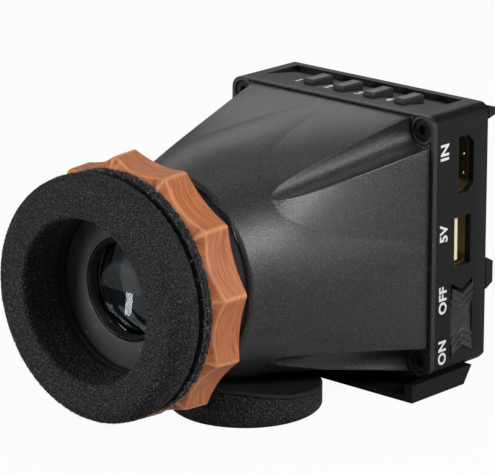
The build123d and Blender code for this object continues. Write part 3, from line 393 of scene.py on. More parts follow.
def makeTapeFinish(name, base, fibre):
    material, tree, shader = newMaterial(name, base, 0.7, specular=0.3)
    place = addNode(tree, "ShaderNodeTexCoord").outputs["Object"]
    weave = addNode(tree, "ShaderNodeTexNoise",
                    {"Vector": place, "Scale": 1500.0, "Detail": 3.0, "Roughness": 0.7})
    lift = above(tree, weave.outputs["Fac"], 0.5, 5.0)
    feed(tree, shader.inputs["Base Color"], mixColor(tree, lift, base, fibre))
    bump = addNode(tree, "ShaderNodeBump", {
        "Height": weave.outputs["Fac"], "Strength": 0.8, "Distance": 0.2 * mm})
    feed(tree, shader.inputs["Normal"], bump.outputs["Normal"])
    return material


oiledWood = makeWoodFinish()
openFoam = makeFoamFinish()
tapeFabric = makeTapeFinish("tapeFabric", (0.0025, 0.0025, 0.0025), (0.016, 0.016, 0.016))
fibreFinish = makeTapeFinish("tapeFibre", (0.10, 0.10, 0.104), (0.50, 0.50, 0.51))


def makeGlass(name, tint):
    material, _, shader = newMaterial(name, tint, 0.0)
    shader.inputs["Transmission Weight"].default_value = 1.0
    shader.inputs["IOR"].default_value = 1.5
    return material


coatedGlass = makeGlass("coatedGlass", (0.86, 0.92, 0.96))
screenGlass = smoothFinish("screenGlass", {"color": (0.006, 0.006, 0.008), "roughness": 0.06, "dust": 0.05})
screenBody = smoothFinish("screenBody", {
    "color": (0.30, 0.30, 0.31), "roughness": 0.35, "metallic": 0.8, "dust": 0.1})
flexFilm = smoothFinish("flexFilm", {"color": (0.42, 0.16, 0.03), "roughness": 0.35, "dust": 0.1})
boardGreen = smoothFinish("boardGreen", {
    "color": (0.010, 0.075, 0.028), "roughness": 0.35, "dust": 0.15, "dustColor": (0.3, 0.3, 0.2)})
strutFinish = smoothFinish("strutFinish", {
    "color": (0.022, 0.022, 0.024), "roughness": 0.6, "dust": 0.5, "dustColor": (0.3, 0.3, 0.3)})
print("finishes made")


# the hood, then the frame plate, housing, base, screws and buttons

# groove: start and tip of its centre line, its run and its radius; ear: the corner screw's place and radius;
# spans: points along the flare, the flat side and the groove in one eighth of a section
hoodShape = {"length": 60.2, "halfWidth": 33.5, "halfHeight": 34.2, "sideRun": 48.0, "sideRadius": 29.45,
             "flare": ((0.0, 34.1), (24.0, 32.44), (40.0, 31.04), (48.0, 29.6), (60.2, 26.6)), "seat": 0.8,
             "groove": (31.5, 24.6, 47.7, 5.0), "ear": (30.8, 31.0, 4.0), "earReach": 0.93, "edge": 0.32,
             "chamfer": 0.8, "bore": 24.0, "boreLength": 8.0, "cavityFront": 23.2, "cavityBack": 29.5,
             "spans": (22, 14, 10), "rings": 122, "sharp": 3.2, "sharpSpan": (8, 45)}


# the flare's radius at a distance in front of the hood's back, by a smooth curve through its stations
def flareRadius(distance):
    stops = hoodShape["flare"]
    n = len(stops)
    slopes = []
    for i in range(n):
        low, high = stops[max(i - 1, 0)], stops[min(i + 1, n - 1)]
        slopes.append((high[1] - low[1]) / (high[0] - low[0]))
    for i in range(n - 1):
        (a0, r0), (a1, r1) = stops[i], stops[i + 1]
        if distance <= a1 or i == n - 2:
            span = a1 - a0
            t = min(max((distance - a0) / span, 0), 1)
            return ((2 * t ** 3 - 3 * t ** 2 + 1) * r0 + (t ** 3 - 2 * t ** 2 + t) * span * slopes[i]
                    + (3 * t ** 2 - 2 * t ** 3) * r1 + (t ** 3 - t ** 2) * span * slopes[i + 1])


# a point of the outer skin before the grooves: along the side's own direction and across it
def hoodSkin(distance, s, halfMain, halfCross):
    h = hoodShape
    share = min(distance / h["sideRun"], 1)
    turn = math.radians(45) * s
    main = (1 - share) * halfMain + share * h["sideRadius"] * math.cos(turn)
    cross = (1 - share) * halfCross * s + share * h["sideRadius"] * math.sin(turn)
    radius = flareRadius(distance)
    flareMain = radius - (h["halfHeight"] - halfMain) * (1 - share)
    flareCross = radius - (h["halfHeight"] - halfCross) * (1 - share)
    angle = math.atan2(cross, main)
    flare = 1 / math.hypot(math.cos(angle) / flareMain, math.sin(angle) / flareCross)
    reach = math.hypot(main, cross)
    onFlare = flare > reach or distance >= h["sideRun"]
    grow = flare / reach if onFlare else 1
    return main * grow, cross * grow, onFlare


# the last place between two at which a test still holds
def lastWhere(test, low, high):
    for _ in range(30):
        middle = (low + high) / 2
        low, high = (middle, high) if test(middle) else (low, middle)
    return low


# the outline of one eighth of a section: flare, flat side, rounded edge of the groove, groove
def hoodEighth(distance, halfMain, halfCross, centreMain, centreCross, size, reach=1.0):
    n1, n2, n3 = hoodShape["spans"]
    outside = lambda s: math.hypot(hoodSkin(distance, s, halfMain, halfCross)[0] - centreMain,
                                   hoodSkin(distance, s, halfMain, halfCross)[1] - centreCross) - size
    edge = 1.0 if outside(reach) >= 0 else lastWhere(lambda s: outside(s) > 0, 0.3, reach)
    onFlare = lambda s: hoodSkin(distance, s, halfMain, halfCross)[2]
    crease = edge if onFlare(edge) else lastWhere(onFlare, 0.0, edge)
    rim = hoodSkin(distance, edge, halfMain, halfCross)[:2]
    start = math.atan2(rim[1] - centreCross, rim[0] - centreMain)
    end = math.radians(-135)
    start = start - math.tau if start > 0 else start
    arc = max(0, abs(end - start) * size) if edge < 1 else 0
    soft = min(hoodShape["edge"], 0.3 * arc)
    before = edge - soft / max(halfCross * 0.9, 1)
    crease = min(crease, before)
    points = [hoodSkin(distance, crease * j / n1, halfMain, halfCross)[:2] for j in range(n1 + 1)]
    points += [hoodSkin(distance, crease + (before - crease) * j / n2, halfMain, halfCross)[:2]
               for j in range(1, n2 + 1)]
    if arc == 0:
        return points + [rim] * (n3 + 2)
    turn = soft / size * (1 if end > start else -1)
    after = (centreMain + size * math.cos(start + turn), centreCross + size * math.sin(start + turn))
    middle = tuple(0.5 * rim[k] + 0.25 * (points[-1][k] + after[k]) for k in (0, 1))
    points += [middle, after]
    for j in range(1, n3 + 1):
        angle = start + turn + (end - start - turn) * j / n3
        points.append((centreMain + size * math.cos(angle), centreCross + size * math.sin(angle)))
    return points


# a whole section, point by point round the axis from the right-hand side
def hoodSection(distance, ear=False):
    h = hoodShape
    start, tip, run, size = h["groove"]
    centre = start + (tip - start) * distance / run
    places, reach = (centre, centre, size), 1.0
    if ear:
        places, reach = h["ear"], h["earReach"]
    side = hoodEighth(distance, h["halfWidth"], h["halfHeight"], places[0], places[1], places[2], reach)
    top = hoodEighth(distance, h["halfHeight"], h["halfWidth"], places[1], places[0], places[2], reach)
    quarter = side[:-1] + [(b, a) for a, b in reversed(top)][:-1]
    if not ear:
        quarter[len(side) - 1] = ((side[-1][0] + top[-1][1]) / 2, (side[-1][1] + top[-1][0]) / 2)
    half = quarter + [(-x, z) for x, z in [(0, top[0][0])] + quarter[:0:-1]]
    return half + [(-x, -z) for x, z in half]


def ringSection(radius):
    count = 8 * (sum(hoodShape["spans"]) + 2)
    turns = [math.tau * k / count for k in range(count)]
    return [(radius * math.cos(turn), radius * math.sin(turn)) for turn in turns]


# the line where the round flare meets a flat side stays crisp: both faces turn away from each other there
def markCreases(bm, crease):
    bm.normal_update()
    for edge in bm.edges:
        ends = [v.co for v in edge.verts]
        distance = frontY - (ends[0].y + ends[1].y) / 2
        lengthways = abs(ends[0].y - ends[1].y) > 0.3
        low, high = hoodShape["sharpSpan"]
        inReach = lengthways and low < distance < high and len(edge.link_faces) == 2
        if inReach and edge.calc_face_angle() > math.radians(hoodShape["sharp"]):
            edge[crease] = 1


def makeHood():
    h = hoodShape
    count = 8 * (sum(h["spans"]) + 2)
    bore = h["length"] - h["boreLength"]
    rings = [(-h["seat"], hoodSection(0, True)), (-0.02, hoodSection(0, True)), (0, hoodSection(0))]
    steps = h["rings"]
    last = h["length"] - h["chamfer"]
    rings += [(last * k / steps, hoodSection(last * k / steps)) for k in range(1, steps + 1)]
    rings += [(h["length"], ringSection(flareRadius(h["length"]) - h["chamfer"])),
              (h["length"], ringSection(h["bore"])), (bore, ringSection(h["bore"])),
              (bore, ringSection(h["cavityFront"]))]
    rings += [(bore * (1 - k / 8) - h["seat"] * k / 8,
               ringSection(h["cavityFront"] + (h["cavityBack"] - h["cavityFront"]) * k / 8))
              for k in range(1, 9)]
    bm = bmesh.new()
    bmesh.ops.create_grid(bm, x_segments=len(rings), y_segments=count, size=1)
    for vert in bm.verts:
        i = round((vert.co.x + 1) / 2 * len(rings)) % len(rings)
        k = round((vert.co.y + 1) / 2 * count) % count
        distance, section = rings[i]
        vert.co = (section[k][0], frontY - distance, axisZ + section[k][1])
    bmesh.ops.remove_doubles(bm, verts=bm.verts, dist=0.002)
    bmesh.ops.dissolve_degenerate(bm, dist=0.002, edges=bm.edges)
    crease = bm.edges.layers.int.new("crease")
    markCreases(bm, crease)
    piece = finishPiece("hoodShell", bm, hoodPaint, "housing", ("hood_body",), 62)
    for edge, mark in zip(piece.data.edges, piece.data.attributes["crease"].data):
        edge.use_edge_sharp = edge.use_edge_sharp or mark.value > 0
    print("hood shaped")


def makeHardShells():
    shells = [
        ("front_frame", framePaint, 0.16, "housing_paint"),
        ("screen_housing", housingPaint, 0.2, "housing_paint"),
        ("rear_cover", housingPaint, 0.2, "housing_paint"),
        ("lower_rail", blackMetal, 0.2, "black_metal"),
        ("upper_rail", blackMetal, 0.2, "black_metal"),
        ("base_plate", housingPaint, 0.22, "black_metal"),
        ("corner_screws", screwBlack, 0.12, "black_steel"),
        ("rail_screws", screwBlack, 0.1, "black_steel"),
        ("base_screws", screwBlack, 0.1, "black_steel"),
        ("switch_slider", buttonPlastic, 0.08, "button_plastic"),
    ]
    for node, material, width, slot in shells:
        body = "power_slider" if node == "switch_slider" else "housing"
        dressedCopy(node, material, body, width)
    for number in range(1, 5):
        dressedCopy("button_%d" % number, buttonPlastic, "button_%d" % number, 0.12)
    print("hard shells dressed")


makeHood()
makeHardShells()


# the wooden focus ring: twelve hollow flutes that meet in ridges, cut by a cone at the front
woodRing = {"tip": 34.1, "valley": 31.7, "lobes": 12, "firstTip": 6.4, "back": -75.7, "front": -85.6,
            "faceRadius": 30.8, "coneSlope": 1.3, "bore": 26.7, "flangeSeat": 29.56, "flangeBack": -84.2,
            "soft": 0.9, "crest": 0.7, "crestDrop": 0.12, "flareBack": 0.5, "backRound": 0.5, "wearHighlightWidth": 0.55,
            "faceShare": 0.6, "faceLip": 0.15, "spacing": 0.36, "steps": 576}


# the flutes are arcs through two ridges and the valley between them
def fluteRadius(angle, tip):
    valley = woodRing["valley"] - woodRing["tip"] + tip
    half = math.pi / woodRing["lobes"]
    turn = (angle - math.radians(woodRing["firstTip"])) % (2 * half) - half
    tipX, tipZ = tip * math.cos(half), tip * math.sin(half)
    depth = valley - tipX
    if depth > 0:
        size = (tipZ ** 2 + depth ** 2) / (2 * depth)
        centre = valley - size
        return centre * math.cos(turn) + math.sqrt(size ** 2 - (centre * math.sin(turn)) ** 2)
    size = (tipZ ** 2 + depth ** 2) / (-2 * depth)
    centre = valley + size
    return centre * math.cos(turn) - math.sqrt(size ** 2 - (centre * math.sin(turn)) ** 2)


def makeWoodRing():
    w = woodRing
    outline = [(w["bore"], w["back"]), (w["tip"], w["back"]), (w["tip"], w["front"]),
               (w["flangeSeat"], w["front"]), (w["flangeSeat"], w["flangeBack"]), (w["bore"], w["flangeBack"])]
    bm = turned(outline, spacing=w["spacing"], steps=w["steps"])
    wear = bm.verts.layers.float.new("wear")
    for vert in bm.verts:
        radius, angle, y = radiusOf(vert), angleOf(vert), vert.co.y
        # the bore and the seat of the flange stay round
        if radius < w["flangeSeat"] + (0.05 if y > w["flangeBack"] - 0.01 else 0.02):
            continue
        lean = (y - w["front"]) / (w["back"] - w["front"])
        ridge = w["tip"] - w["flareBack"] * (1 - lean)
        flute = fluteRadius(angle, ridge)
        face = max(w["faceRadius"] + w["faceShare"] * (flute - w["tip"]), w["flangeSeat"] + w["faceLip"])
        cone = face + (y - w["front"]) * w["coneSlope"]
        crest = ridge - w["crestDrop"]
        limit = softMin(softMin(flute, crest, w["crest"]), cone, w["soft"])
        # the crests and the front edge are marked for a paler colour, partly wear and partly a painted
        # highlight
        nearEdge = 1 - ramp(0.0, w["wearHighlightWidth"], min(abs(flute - cone), crest - flute + w["crestDrop"]))
        back, size = w["back"] - y, w["backRound"]
        if back < size:
            limit = min(limit, flute - size + math.sqrt(max(size ** 2 - (size - back) ** 2, 0)))
        inner = w["flangeSeat"] if y < w["flangeBack"] + 0.01 else w["bore"]
        share = (radius - inner) / (w["tip"] - inner)
        vert[wear] = nearEdge * ramp(0.85, 1.0, share)
        setPolar(vert, inner + share * (limit - inner), angle)
    turns = bm.loops.layers.uv.new("turn")
    for face in bm.faces:
        middle = face.calc_center_median()
        home = math.atan2(middle.z - axisZ, middle.x)
        for loop in face.loops:
            off = (angleOf(loop.vert) - home + math.pi) % math.tau - math.pi
            loop[turns].uv = ((home + off) / math.tau + 0.5,
                              (loop.vert.co.y - w["front"]) / 10 + (w["tip"] - radiusOf(loop.vert)) / 10)
    piece = finishPiece("focusRingWood", bm, oiledWood, "focus_ring", ("focus_ring",), 45)
    print("wooden ring turned")


makeWoodRing()


# foam eyecup and rest pad: dense skins whose cells are pushed in between their walls

foamCells = {"wall": 0.42, "lumps": 2.6, "lumpHeight": 0.18, "gain": 1.15}


def foamSkin(bm, cell, depth, keep=None):
    strut = bm.verts.layers.float.new("strut")
    bm.normal_update()
    moves = []
    for vert in bm.verts:
        near, far = noise.voronoi(vert.co / cell)[0][:2]
        wall = 1 - ramp(0.0, foamCells["wall"], far - near)
        lump = noise.noise(vert.co / (foamCells["lumps"] * cell)) * foamCells["lumpHeight"]
        share = keep(vert) if keep else 1.0
        # strut is 1 on the cell walls and 0 in the hollows, which the foam finish paints as shade; the lumps
        # add uneven tone
        vert[strut] = min(max(wall * foamCells["gain"] + lump, 0), 1)
        moves.append((vert, vert.normal * (-depth * (1 - wall) * share)))
    for vert, move in moves:
        vert.co += move


foamCup = {"back": -88.2, "front": -98.8, "backRadius": 29.3, "outer": 30.9, "bulge": 0.5, "bore": 20.0,
           "mouth": 20.8, "cell": 0.62, "depth": 0.42, "steps": 768, "spacing": 0.24,
           "wisps": 12000, "wispFrom": 21.5, "wispWidth": 0.11, "wispLength": (0.4, 1.0)}


# short curved fibres or strut ends: strips of one grid, each bent along its own line
def makeWisps(name, count, material, body, route):
    bm = bmesh.new()
    columns, rows = 2 * count, 3
    bmesh.ops.create_grid(bm, x_segments=columns, y_segments=rows, size=1)
    spare = [f for f in bm.faces if int((f.calc_center_median().x + 1) / 2 * columns) % 2]
    bmesh.ops.delete(bm, geom=spare, context="FACES")
    for vert in bm.verts:
        column = round((vert.co.x + 1) / 2 * columns)
        start, side, along, outward, length = route(column // 2)
        t = (vert.co.y + 1) / 2
        width = (column % 2 - 0.5) * (1 - 0.6 * t)
        vert.co = start + side * width + along * (length * t) - outward * (0.45 * length * t * t)
    piece = finishPiece(name, bm, material, body, (), 60, outward=False)
    return piece


# where each wisp starts and how it leans, drawn in order from one seeded source
def wispRoutes(seed, count, place, width, length):
    rng = random.Random(seed)
    routes = []
    for _ in range(count):
        start, outward = place(rng)
        lean = Vector((rng.gauss(0, 0.5), rng.gauss(0, 0.5), rng.gauss(0, 0.5)))
        along = (outward * rng.uniform(0.3, 0.9) + lean).normalized()
        side = along.cross(Vector((0.3, 0.5, 0.8))).normalized() * width
        routes.append((start, side, along, outward, rng.uniform(*length)))
    return lambda i: routes[i]


def makeFoamCup():
    f = foamCup
    middle = (f["back"] + f["front"]) / 2
    points = [(f["bore"], f["back"]), (f["backRadius"], f["back"]), (f["outer"], f["back"] - 2.2),
              (f["outer"] + f["bulge"], middle), (f["outer"] - 0.2, f["front"]),
              (f["mouth"], f["front"] + 0.2)]
    bm = turned(points, [0.3, 0.4, 1.0, 0, 3.4, 1.1], 10, f["spacing"], f["steps"])
    bmesh.ops.recalc_face_normals(bm, faces=bm.faces)
    foamSkin(bm, f["cell"], f["depth"])
    ends = [(v.co.copy(), v.normal.copy()) for v in bm.verts if radiusOf(v) > f["wispFrom"]]
    picks = random.Random(11).sample(ends, f["wisps"])
    piece = finishPiece("foamEyecup", bm, openFoam, "eyecup", ("foam_eyecup",), 180)
    source = iter(picks)
    routes = wispRoutes(12, len(picks), lambda rng: next(source), f["wispWidth"], f["wispLength"])
    makeWisps("foamWisps", len(picks), strutFinish, "eyecup", routes)
    print("foam eyecup made")


makeFoamCup()

# inner and outer radius, front and back of each half
tapeRings = {"hook": (20.4, 31.0, -87.1, -85.6), "loop": (20.2, 30.85, -88.2, -87.1), "rim": 1.5,
             "hookFibres": 1900, "loopFibres": 1700, "lumps": 0.9, "lumpHeight": 0.32, "fibreWidth": 0.13,
             "fibreLength": (0.5, 1.4)}


# a thin ring of tape, with short fibres standing out of its rim
def makeTape(name, span, material, body, node, seed, fibres):
    inner, outer, front, back = span
    bm = turned([(inner, back), (outer, back), (outer, front), (inner, front)], [0.2] * 4, 3, 0.35, 416)
    bmesh.ops.recalc_face_normals(bm, faces=bm.faces)
    bm.normal_update()
    rim = [v for v in bm.verts if radiusOf(v) > outer - tapeRings["rim"]]
    moves = [(v, v.normal * noise.noise(v.co / tapeRings["lumps"]) * tapeRings["lumpHeight"]) for v in rim]
    for vert, move in moves:
        vert.co += move
    piece = finishPiece(name, bm, material, body, (node,), 60)

    def place(rng):
        angle = rng.uniform(0, math.tau)
        outward = Vector((math.cos(angle), 0, math.sin(angle)))
        return Vector((0, rng.uniform(front, back), axisZ)) + outward * (outer - 0.08), outward

    makeWisps(name + "Fibres", fibres, fibreFinish, body,
              wispRoutes(seed, fibres, place, tapeRings["fibreWidth"], tapeRings["fibreLength"]))


makeTape("hookTape", tapeRings["hook"], tapeFabric, "focus_ring", "hook_ring", 3,
         tapeRings["hookFibres"])
makeTape("loopTape", tapeRings["loop"], tapeFabric, "eyecup", "loop_ring", 4,
         tapeRings["loopFibres"])
print("tapes made")

restPad = {"x": 3.5, "y": -44.0, "radius": 20.0, "foamTop": 9.6, "top": 10.8, "loop": 1.2, "gap": 0.45,
           "cell": 0.66, "depth": 0.4, "steps": 544, "spacing": 0.26,
           "wisps": 1800, "wispFrom": 1.5, "wispWidth": 0.10, "wispLength": (0.3, 0.8)}


# the level of the hood's lowest line above a place on the axis
def lineUnderHood(y):
    distance = frontY - y
    stops = [(0.0, hoodShape["halfHeight"])] + list(hoodShape["flare"][1:])
    for (a0, r0), (a1, r1) in zip(stops, stops[1:]):
        if distance <= a1:
            return axisZ - (r0 + (r1 - r0) * (distance - a0) / (a1 - a0))
    return axisZ - stops[-1][1]


# a disc between two levels, its top pressed down under the hood
def padDisc(low, high, drop, rounds, segments, spacing, steps):
    p = restPad
    bm = bmesh.new()
    corners = ((0, low), (p["radius"], low), (p["radius"], high), (0, high))
    verts = [bm.verts.new((p["x"] + r, p["y"], z)) for r, z in corners]
    for pair in zip(verts, verts[1:]):
        bm.edges.new(pair)
    refineWire(bm, verts[1:3], rounds, segments, spacing)
    spinWhole(bm, (p["x"], p["y"], 0), (0, 0, 1), steps)
    for vert in bm.verts:
        top = min(high, lineUnderHood(vert.co.y) - drop)
        vert.co.z = low + (vert.co.z - low) * (top - low) / (high - low)
    bmesh.ops.recalc_face_normals(bm, faces=bm.faces)
    return bm


def makeRestPad():
    p = restPad
    bm = padDisc(0.1, p["foamTop"], p["gap"] + p["loop"], (2.4, 0.5), 8, p["spacing"], p["steps"])
    foamSkin(bm, p["cell"], p["depth"], keep=lambda v: 0 if v.co.z < 0.3 else 1)
    ends = [(v.co.copy(), v.normal.copy()) for v in bm.verts if v.co.z > p["wispFrom"]]
    picks = random.Random(21).sample(ends, p["wisps"])
    piece = finishPiece("restPadFoam", bm, openFoam, "rest_pad", ("rest_pad",), 180)
    source = iter(picks)
    routes = wispRoutes(22, len(picks), lambda rng: next(source), p["wispWidth"], p["wispLength"])
    makeWisps("restPadWisps", len(picks), strutFinish, "rest_pad", routes)
    bm = padDisc(0.0, p["loop"], 0.0, (0.3, 0.4), 4, 0.45, 352)
    for vert in bm.verts:
        foot = min(p["foamTop"], lineUnderHood(vert.co.y) - p["gap"] - p["loop"])
        vert.co.z += foot + noise.noise(vert.co / 0.8) * 0.05
    piece = finishPiece("restPadTop", bm, tapeFabric, "rest_pad", ("rest_pad_loop",), 60)
    print("rest pad made")


makeRestPad()


# lens cell, its plate and bezel, and the glass
def bowPoints(radius, rim, sag, steps=40):
    ball = (radius * radius + sag * sag) / (2 * abs(sag))
    points = []
    for k in range(steps + 1):
        r = radius * k / steps
        rise = math.sqrt(ball * ball - r * r) - (ball - abs(sag))
        points.append((r, rim + math.copysign(rise, sag)))
    return points


def makeLens(name, node, radius, land, front, back, frontSag, backSag):
    nose = bowPoints(radius - land, front, -frontSag)
    tail = bowPoints(radius - land, back, backSag)
    bm = turned(nose + [(radius, front), (radius, back)] + tail[::-1], steps=256, closed=False)
    piece = finishPiece(name, bm, coatedGlass, "lens_cell", (node,), 30)


def makeRound(name, node, points, rounds, material, body, steps=224):
    piece = finishPiece(name, turned(points, rounds, 4, None, steps), material, body, (node,), 35)


# stations along the axis and radii of the lens cell and the neck
eyeEnd = {"bezelFront": -84.0, "plateFront": -83.8, "tubeFront": -82.2, "eyeFront": -81.2, "eyeBack": -78.8,
          "tailEnd": -77.6, "fieldFront": -70.0, "fieldBack": -67.5, "fieldRingBack": -65.1, "tubeBack": -61.0,
          "flangeFront": -85.6, "flangeBack": -84.2, "ringBack": -75.7, "collarFront": -75.3,
          "collarBack": -67.2, "sleeveBack": -59.4,
          "plateBore": 13.4, "lensRadius": 13.35, "tailBore": 12.3, "fieldRadius": 18.95, "spacerBore": 17.55,
          "tubeBore": 19.0, "cellRadius": 21.5, "sleeveBore": 21.56, "sleeveRadius": 23.9, "spigot": 23.97,
          "collar": 25.4, "insertBore": 23.96, "insertRadius": 26.55, "flangeBore": 20.3, "flangeRadius": 29.5,
          "bezelCrest": 12.6, "bezelOuter": -83.3, "bezelFoot": 12.2, "bezelThroat": (11.9, -82.55),
          "eyeBows": (1.8, 2.6), "eyeLand": 1.2, "fieldBows": (3.2, 3.4), "fieldLand": 1.5}


def makeLensCell():
    e = eyeEnd
    plate = [(e["plateBore"], e["plateFront"]), (e["cellRadius"], e["plateFront"]),
             (e["cellRadius"], e["tubeFront"]), (e["fieldRadius"], e["tubeFront"]),
             (e["fieldRadius"], e["tailEnd"]), (e["tailBore"], e["tailEnd"]),
             (e["tailBore"], e["eyeBack"]), (e["plateBore"], e["eyeBack"])]
    makeRound("eyePlate", "eye_plate", plate, [0.2, 0.3, 0, 0, 0.1, 0, 0, 0], platePlastic, "lens_cell")
    bezel = [(e["bezelCrest"], e["bezelFront"]), (e["lensRadius"], e["bezelOuter"]),
             (e["lensRadius"], e["eyeFront"]), (e["bezelFoot"], e["eyeFront"]), e["bezelThroat"]]
    makeRound("eyeBezel", "eye_bezel", bezel, [0.12, 0.12, 0, 0, 0.1], bezelPlastic, "lens_cell")
    makeLens("eyeLens", "eye_lens", e["lensRadius"], e["eyeLand"], e["eyeFront"], e["eyeBack"], *e["eyeBows"])
    makeLens("fieldLens", "field_lens", e["fieldRadius"], e["fieldLand"], e["fieldFront"], e["fieldBack"],
             *e["fieldBows"])


def makeNeck():
    e = eyeEnd
    sleeve = [(e["sleeveBore"], e["plateFront"]), (e["sleeveRadius"], e["plateFront"]),
              (e["sleeveRadius"], e["collarFront"]), (e["collar"], e["collarFront"]),
              (e["collar"], e["collarBack"]), (e["spigot"], e["collarBack"]),
              (e["spigot"], e["sleeveBack"]), (e["sleeveBore"], e["sleeveBack"])]
    makeRound("sleeve", "neck_sleeve", sleeve, [0.15, 0.2, 0, 0.2, 0, 0, 0.2, 0.1], blackMetal, "housing",
              320)
    insert = [(e["flangeBore"], e["flangeFront"]), (e["flangeRadius"], e["flangeFront"]),
              (e["flangeRadius"], e["flangeBack"]), (e["insertRadius"], e["flangeBack"]),
              (e["insertRadius"], e["ringBack"]), (e["insertBore"], e["ringBack"]),
              (e["insertBore"], e["flangeBack"]), (e["flangeBore"], e["flangeBack"])]
    makeRound("ringInsert", "ring_insert", insert, [0.2, 0, 0, 0, 0.2, 0.2, 0, 0.1], blackMetal, "focus_ring",
              320)


# a plain tube of the lens cell
def makeTube(name, node, inner, outer, front, back, rounds, steps):
    points = [(inner, front), (outer, front), (outer, back), (inner, back)]
    makeRound(name, node, points, rounds, blackMetal, "lens_cell", steps)


def makeTubes():
    e = eyeEnd
    makeTube("cellTube", "lens_cell", e["tubeBore"], e["cellRadius"], e["tubeFront"], e["tubeBack"],
             [0.1, 0.1, 0.3, 0.3], 224)
    makeTube("spacerTube", "spacer_tube", e["spacerBore"], e["fieldRadius"], e["tailEnd"], e["fieldFront"],
             [0.15] * 4, 192)
    makeTube("fieldRing", "field_ring", e["spacerBore"], e["fieldRadius"], e["fieldBack"], e["fieldRingBack"],
             [0.2] * 4, 192)
    print("lens cell made")


makeLensCell()
makeNeck()
makeTubes()


def keepNode(node, material):
    nodes[node].data.materials.clear()
    nodes[node].data.materials.append(material)


# the two sprung dimples inside the video socket
dimples = {"levels": (61.5, 56.4), "x": 31.6, "y": 9.0, "radius": 0.5}


def makeDimples():
    bm = bmesh.new()
    for level in dimples["levels"]:
        place = Matrix.Translation((dimples["x"], dimples["y"], level))
        bmesh.ops.create_uvsphere(bm, u_segments=24, v_segments=12, radius=dimples["radius"], matrix=place)
    piece = finishPiece("socketDimples", bm, steelFinish, "housing", (), 60)


makeDimples()
# the pieces inside keep the solids' own meshes
plainNodes = (
    (steelFinish, "steel", ("hood_screws", "guide_keys", "display_clamps", "clamp_screws")),
    (steelFinish, "steel", ("board_screws", "button_board_screws")),
    (brassFinish, "brass_insert", ("thread_insert", "board_posts")),
    (blackPlastic, "black_plastic", ("display_mask", "board_chips", "video_contacts")),
    (blackPlastic, "black_plastic", ("switch_body", "button_switches")),
    (screenGlass, "screen_glass", ("display_glass",)),
    (screenBody, "screen_body", ("display_module",)),
    (flexFilm, "flex", ("display_flex",)),
    (boardGreen, "board", ("main_board", "button_board")),
    (goldPlate, "gold_plate", ("video_socket", "power_socket")),
    (creamPlastic, "cream_plastic", ("power_tongue",)),
)
for material, slot, members in plainNodes:
    for node in members:
        keepNode(node, material)


# printed labels

# the side's words as (name, text, height, level), and the numbers beside the buttons
labels = {"side": 34.72, "sideY": -2.2, "numberHeight": 2.6, "numberY": 0.2, "top": 74.52,
          "firstNumber": -17.4, "pitch": 10.4,
          "words": (("labelIn", "IN", 3.1, 64.6), ("labelPower", "5V", 2.9, 42.9),
                    ("labelOff", "OFF", 2.9, 25.0), ("labelOn", "ON", 2.9, 10.9))}


def makeLabels():
    for name, text, height, level in labels["words"]:
        place = (labels["side"], labels["sideY"], level)
        makeWord(name, text, labelInk, "housing", height, place, (0, 0, 1), (0, -1, 0))
    for number in range(4):
        place = (labels["firstNumber"] + labels["pitch"] * number, labels["numberY"], labels["top"])
        makeWord("label%d" % (number + 1), str(number + 1), labelInk, "housing", labels["numberHeight"], place,
                 (1, 0, 0), (0, 1, 0))


makeLabels()
print("labels made")


# camera, lamps, floor and backdrop

cameraPlace = {"position": (575.32, -668.60, 295.12), "target": (-29.27, -7.0, 30.66), "roll": -0.07,
               "lens": 253.1, "sensor": 36.0}


def makeCamera():
    data = bpy.data.cameras.new("camera")
    data.lens = cameraPlace["lens"]
    data.sensor_width = cameraPlace["sensor"]
    data.clip_start, data.clip_end = 0.05, 20
    camera = bpy.data.objects.new("camera", data)
    bpy.context.scene.collection.objects.link(camera)
    position, target = Vector(cameraPlace["position"]) * mm, Vector(cameraPlace["target"]) * mm
    aim = (target - position).to_track_quat("-Z", "Y").to_matrix().to_4x4()
    roll = Matrix.Rotation(math.radians(cameraPlace["roll"]), 4, "Z")
    camera.matrix_world = Matrix.Translation(position) @ aim @ roll
    bpy.context.scene.camera = camera


lamps = {
    "keyRight": {"place": (1.12, 0.07, 0.72), "size": (0.42, 0.34), "power": 14.0},
    "sideFill": {"place": (1.1, 0.66, 0.16), "size": (0.8, 0.6), "power": 3.6},
    "topSoft": {"place": (-0.1, 0.35, 1.1), "size": (0.7, 0.5), "power": 1.2},
    "backLeft": {"place": (-0.9, 0.95, 0.7), "size": (0.9, 0.5), "power": 2.2},
    "frontStrip": {"place": (-0.36, -0.98, 0.36), "size": (0.26, 0.80), "power": 10.0},
    "frontRight": {"place": (0.55, -0.75, 0.9), "size": (0.6, 0.6), "power": 2.5},
}


def makeLamps():
    aim = Vector((0, -0.04, 0.035))  # the middle of the object
    for name, lamp in lamps.items():
        data = bpy.data.lights.new(name, "AREA")
        data.shape = "RECTANGLE"
        data.size, data.size_y = lamp["size"]
        data.energy = lamp["power"]
        piece = bpy.data.objects.new(name, data)
        bpy.context.scene.collection.objects.link(piece)
        place = Vector(lamp["place"])
        turn = (aim - place).to_track_quat("-Z", "Y").to_matrix().to_4x4()
        piece.matrix_world = Matrix.Translation(place) @ turn


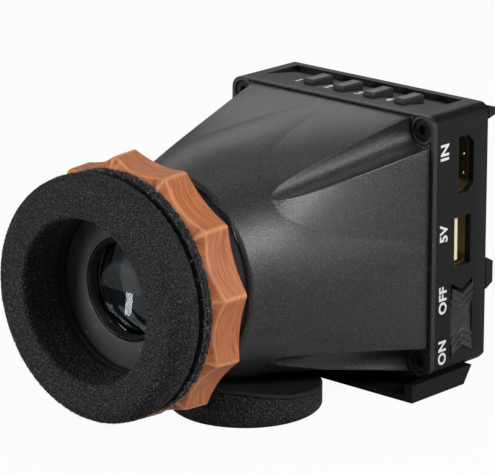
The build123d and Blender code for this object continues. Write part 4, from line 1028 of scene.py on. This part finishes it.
stageLook = {"skyColor": (0.9, 0.95, 1.0, 1), "skyStrength": 0.12, "floorSize": 6.0,
             "floorColor": (0.5, 0.5, 0.5, 1), "floorRoughness": 0.9, "floorSpecular": 0.1, "floorWhite": 0.95}


# a faint sky that the camera sees as white
def makeWorld():
    world = bpy.data.worlds.new("studio")
    bpy.context.scene.world = world
    world.use_nodes = True
    tree = world.node_tree
    tree.nodes.clear()
    soft = addNode(tree, "ShaderNodeBackground",
                   {"Color": stageLook["skyColor"], "Strength": stageLook["skyStrength"]})
    white = addNode(tree, "ShaderNodeBackground", {"Color": (1, 1, 1, 1), "Strength": 1.0})
    seen = addNode(tree, "ShaderNodeLightPath").outputs["Is Camera Ray"]
    mix = addNode(tree, "ShaderNodeMixShader", {0: seen, 1: soft.outputs[0], 2: white.outputs[0]})
    out = tree.nodes.new("ShaderNodeOutputWorld")
    tree.links.new(mix.outputs[0], out.inputs["Surface"])


# the floor keeps its shadows, but looks nearly white to the camera
def makeFloor():
    bm = bmesh.new()
    bmesh.ops.create_grid(bm, x_segments=1, y_segments=1, size=stageLook["floorSize"])
    mesh = bpy.data.meshes.new("floor")
    bm.to_mesh(mesh)
    bm.free()
    floor = bpy.data.objects.new("floor", mesh)
    bpy.context.scene.collection.objects.link(floor)
    material = bpy.data.materials.new("paleFloor")
    material.use_nodes = True
    tree = material.node_tree
    shader = tree.nodes["Principled BSDF"]
    shader.inputs["Base Color"].default_value = stageLook["floorColor"]
    shader.inputs["Roughness"].default_value = stageLook["floorRoughness"]
    shader.inputs["Specular IOR Level"].default_value = stageLook["floorSpecular"]
    glow = addNode(tree, "ShaderNodeEmission", {"Color": (1, 1, 1, 1), "Strength": 1.0})
    share = maths(tree, "MULTIPLY", addNode(tree, "ShaderNodeLightPath").outputs["Is Camera Ray"],
                  stageLook["floorWhite"])
    mix = addNode(tree, "ShaderNodeMixShader", {0: share, 1: shader.outputs[0], 2: glow.outputs[0]})
    tree.links.new(mix.outputs[0], tree.nodes["Material Output"].inputs["Surface"])
    mesh.materials.append(material)


makeCamera()
makeLamps()
makeWorld()
makeFloor()
bpy.context.scene.view_settings.view_transform = "Standard"
print("camera, lamps and floor set")
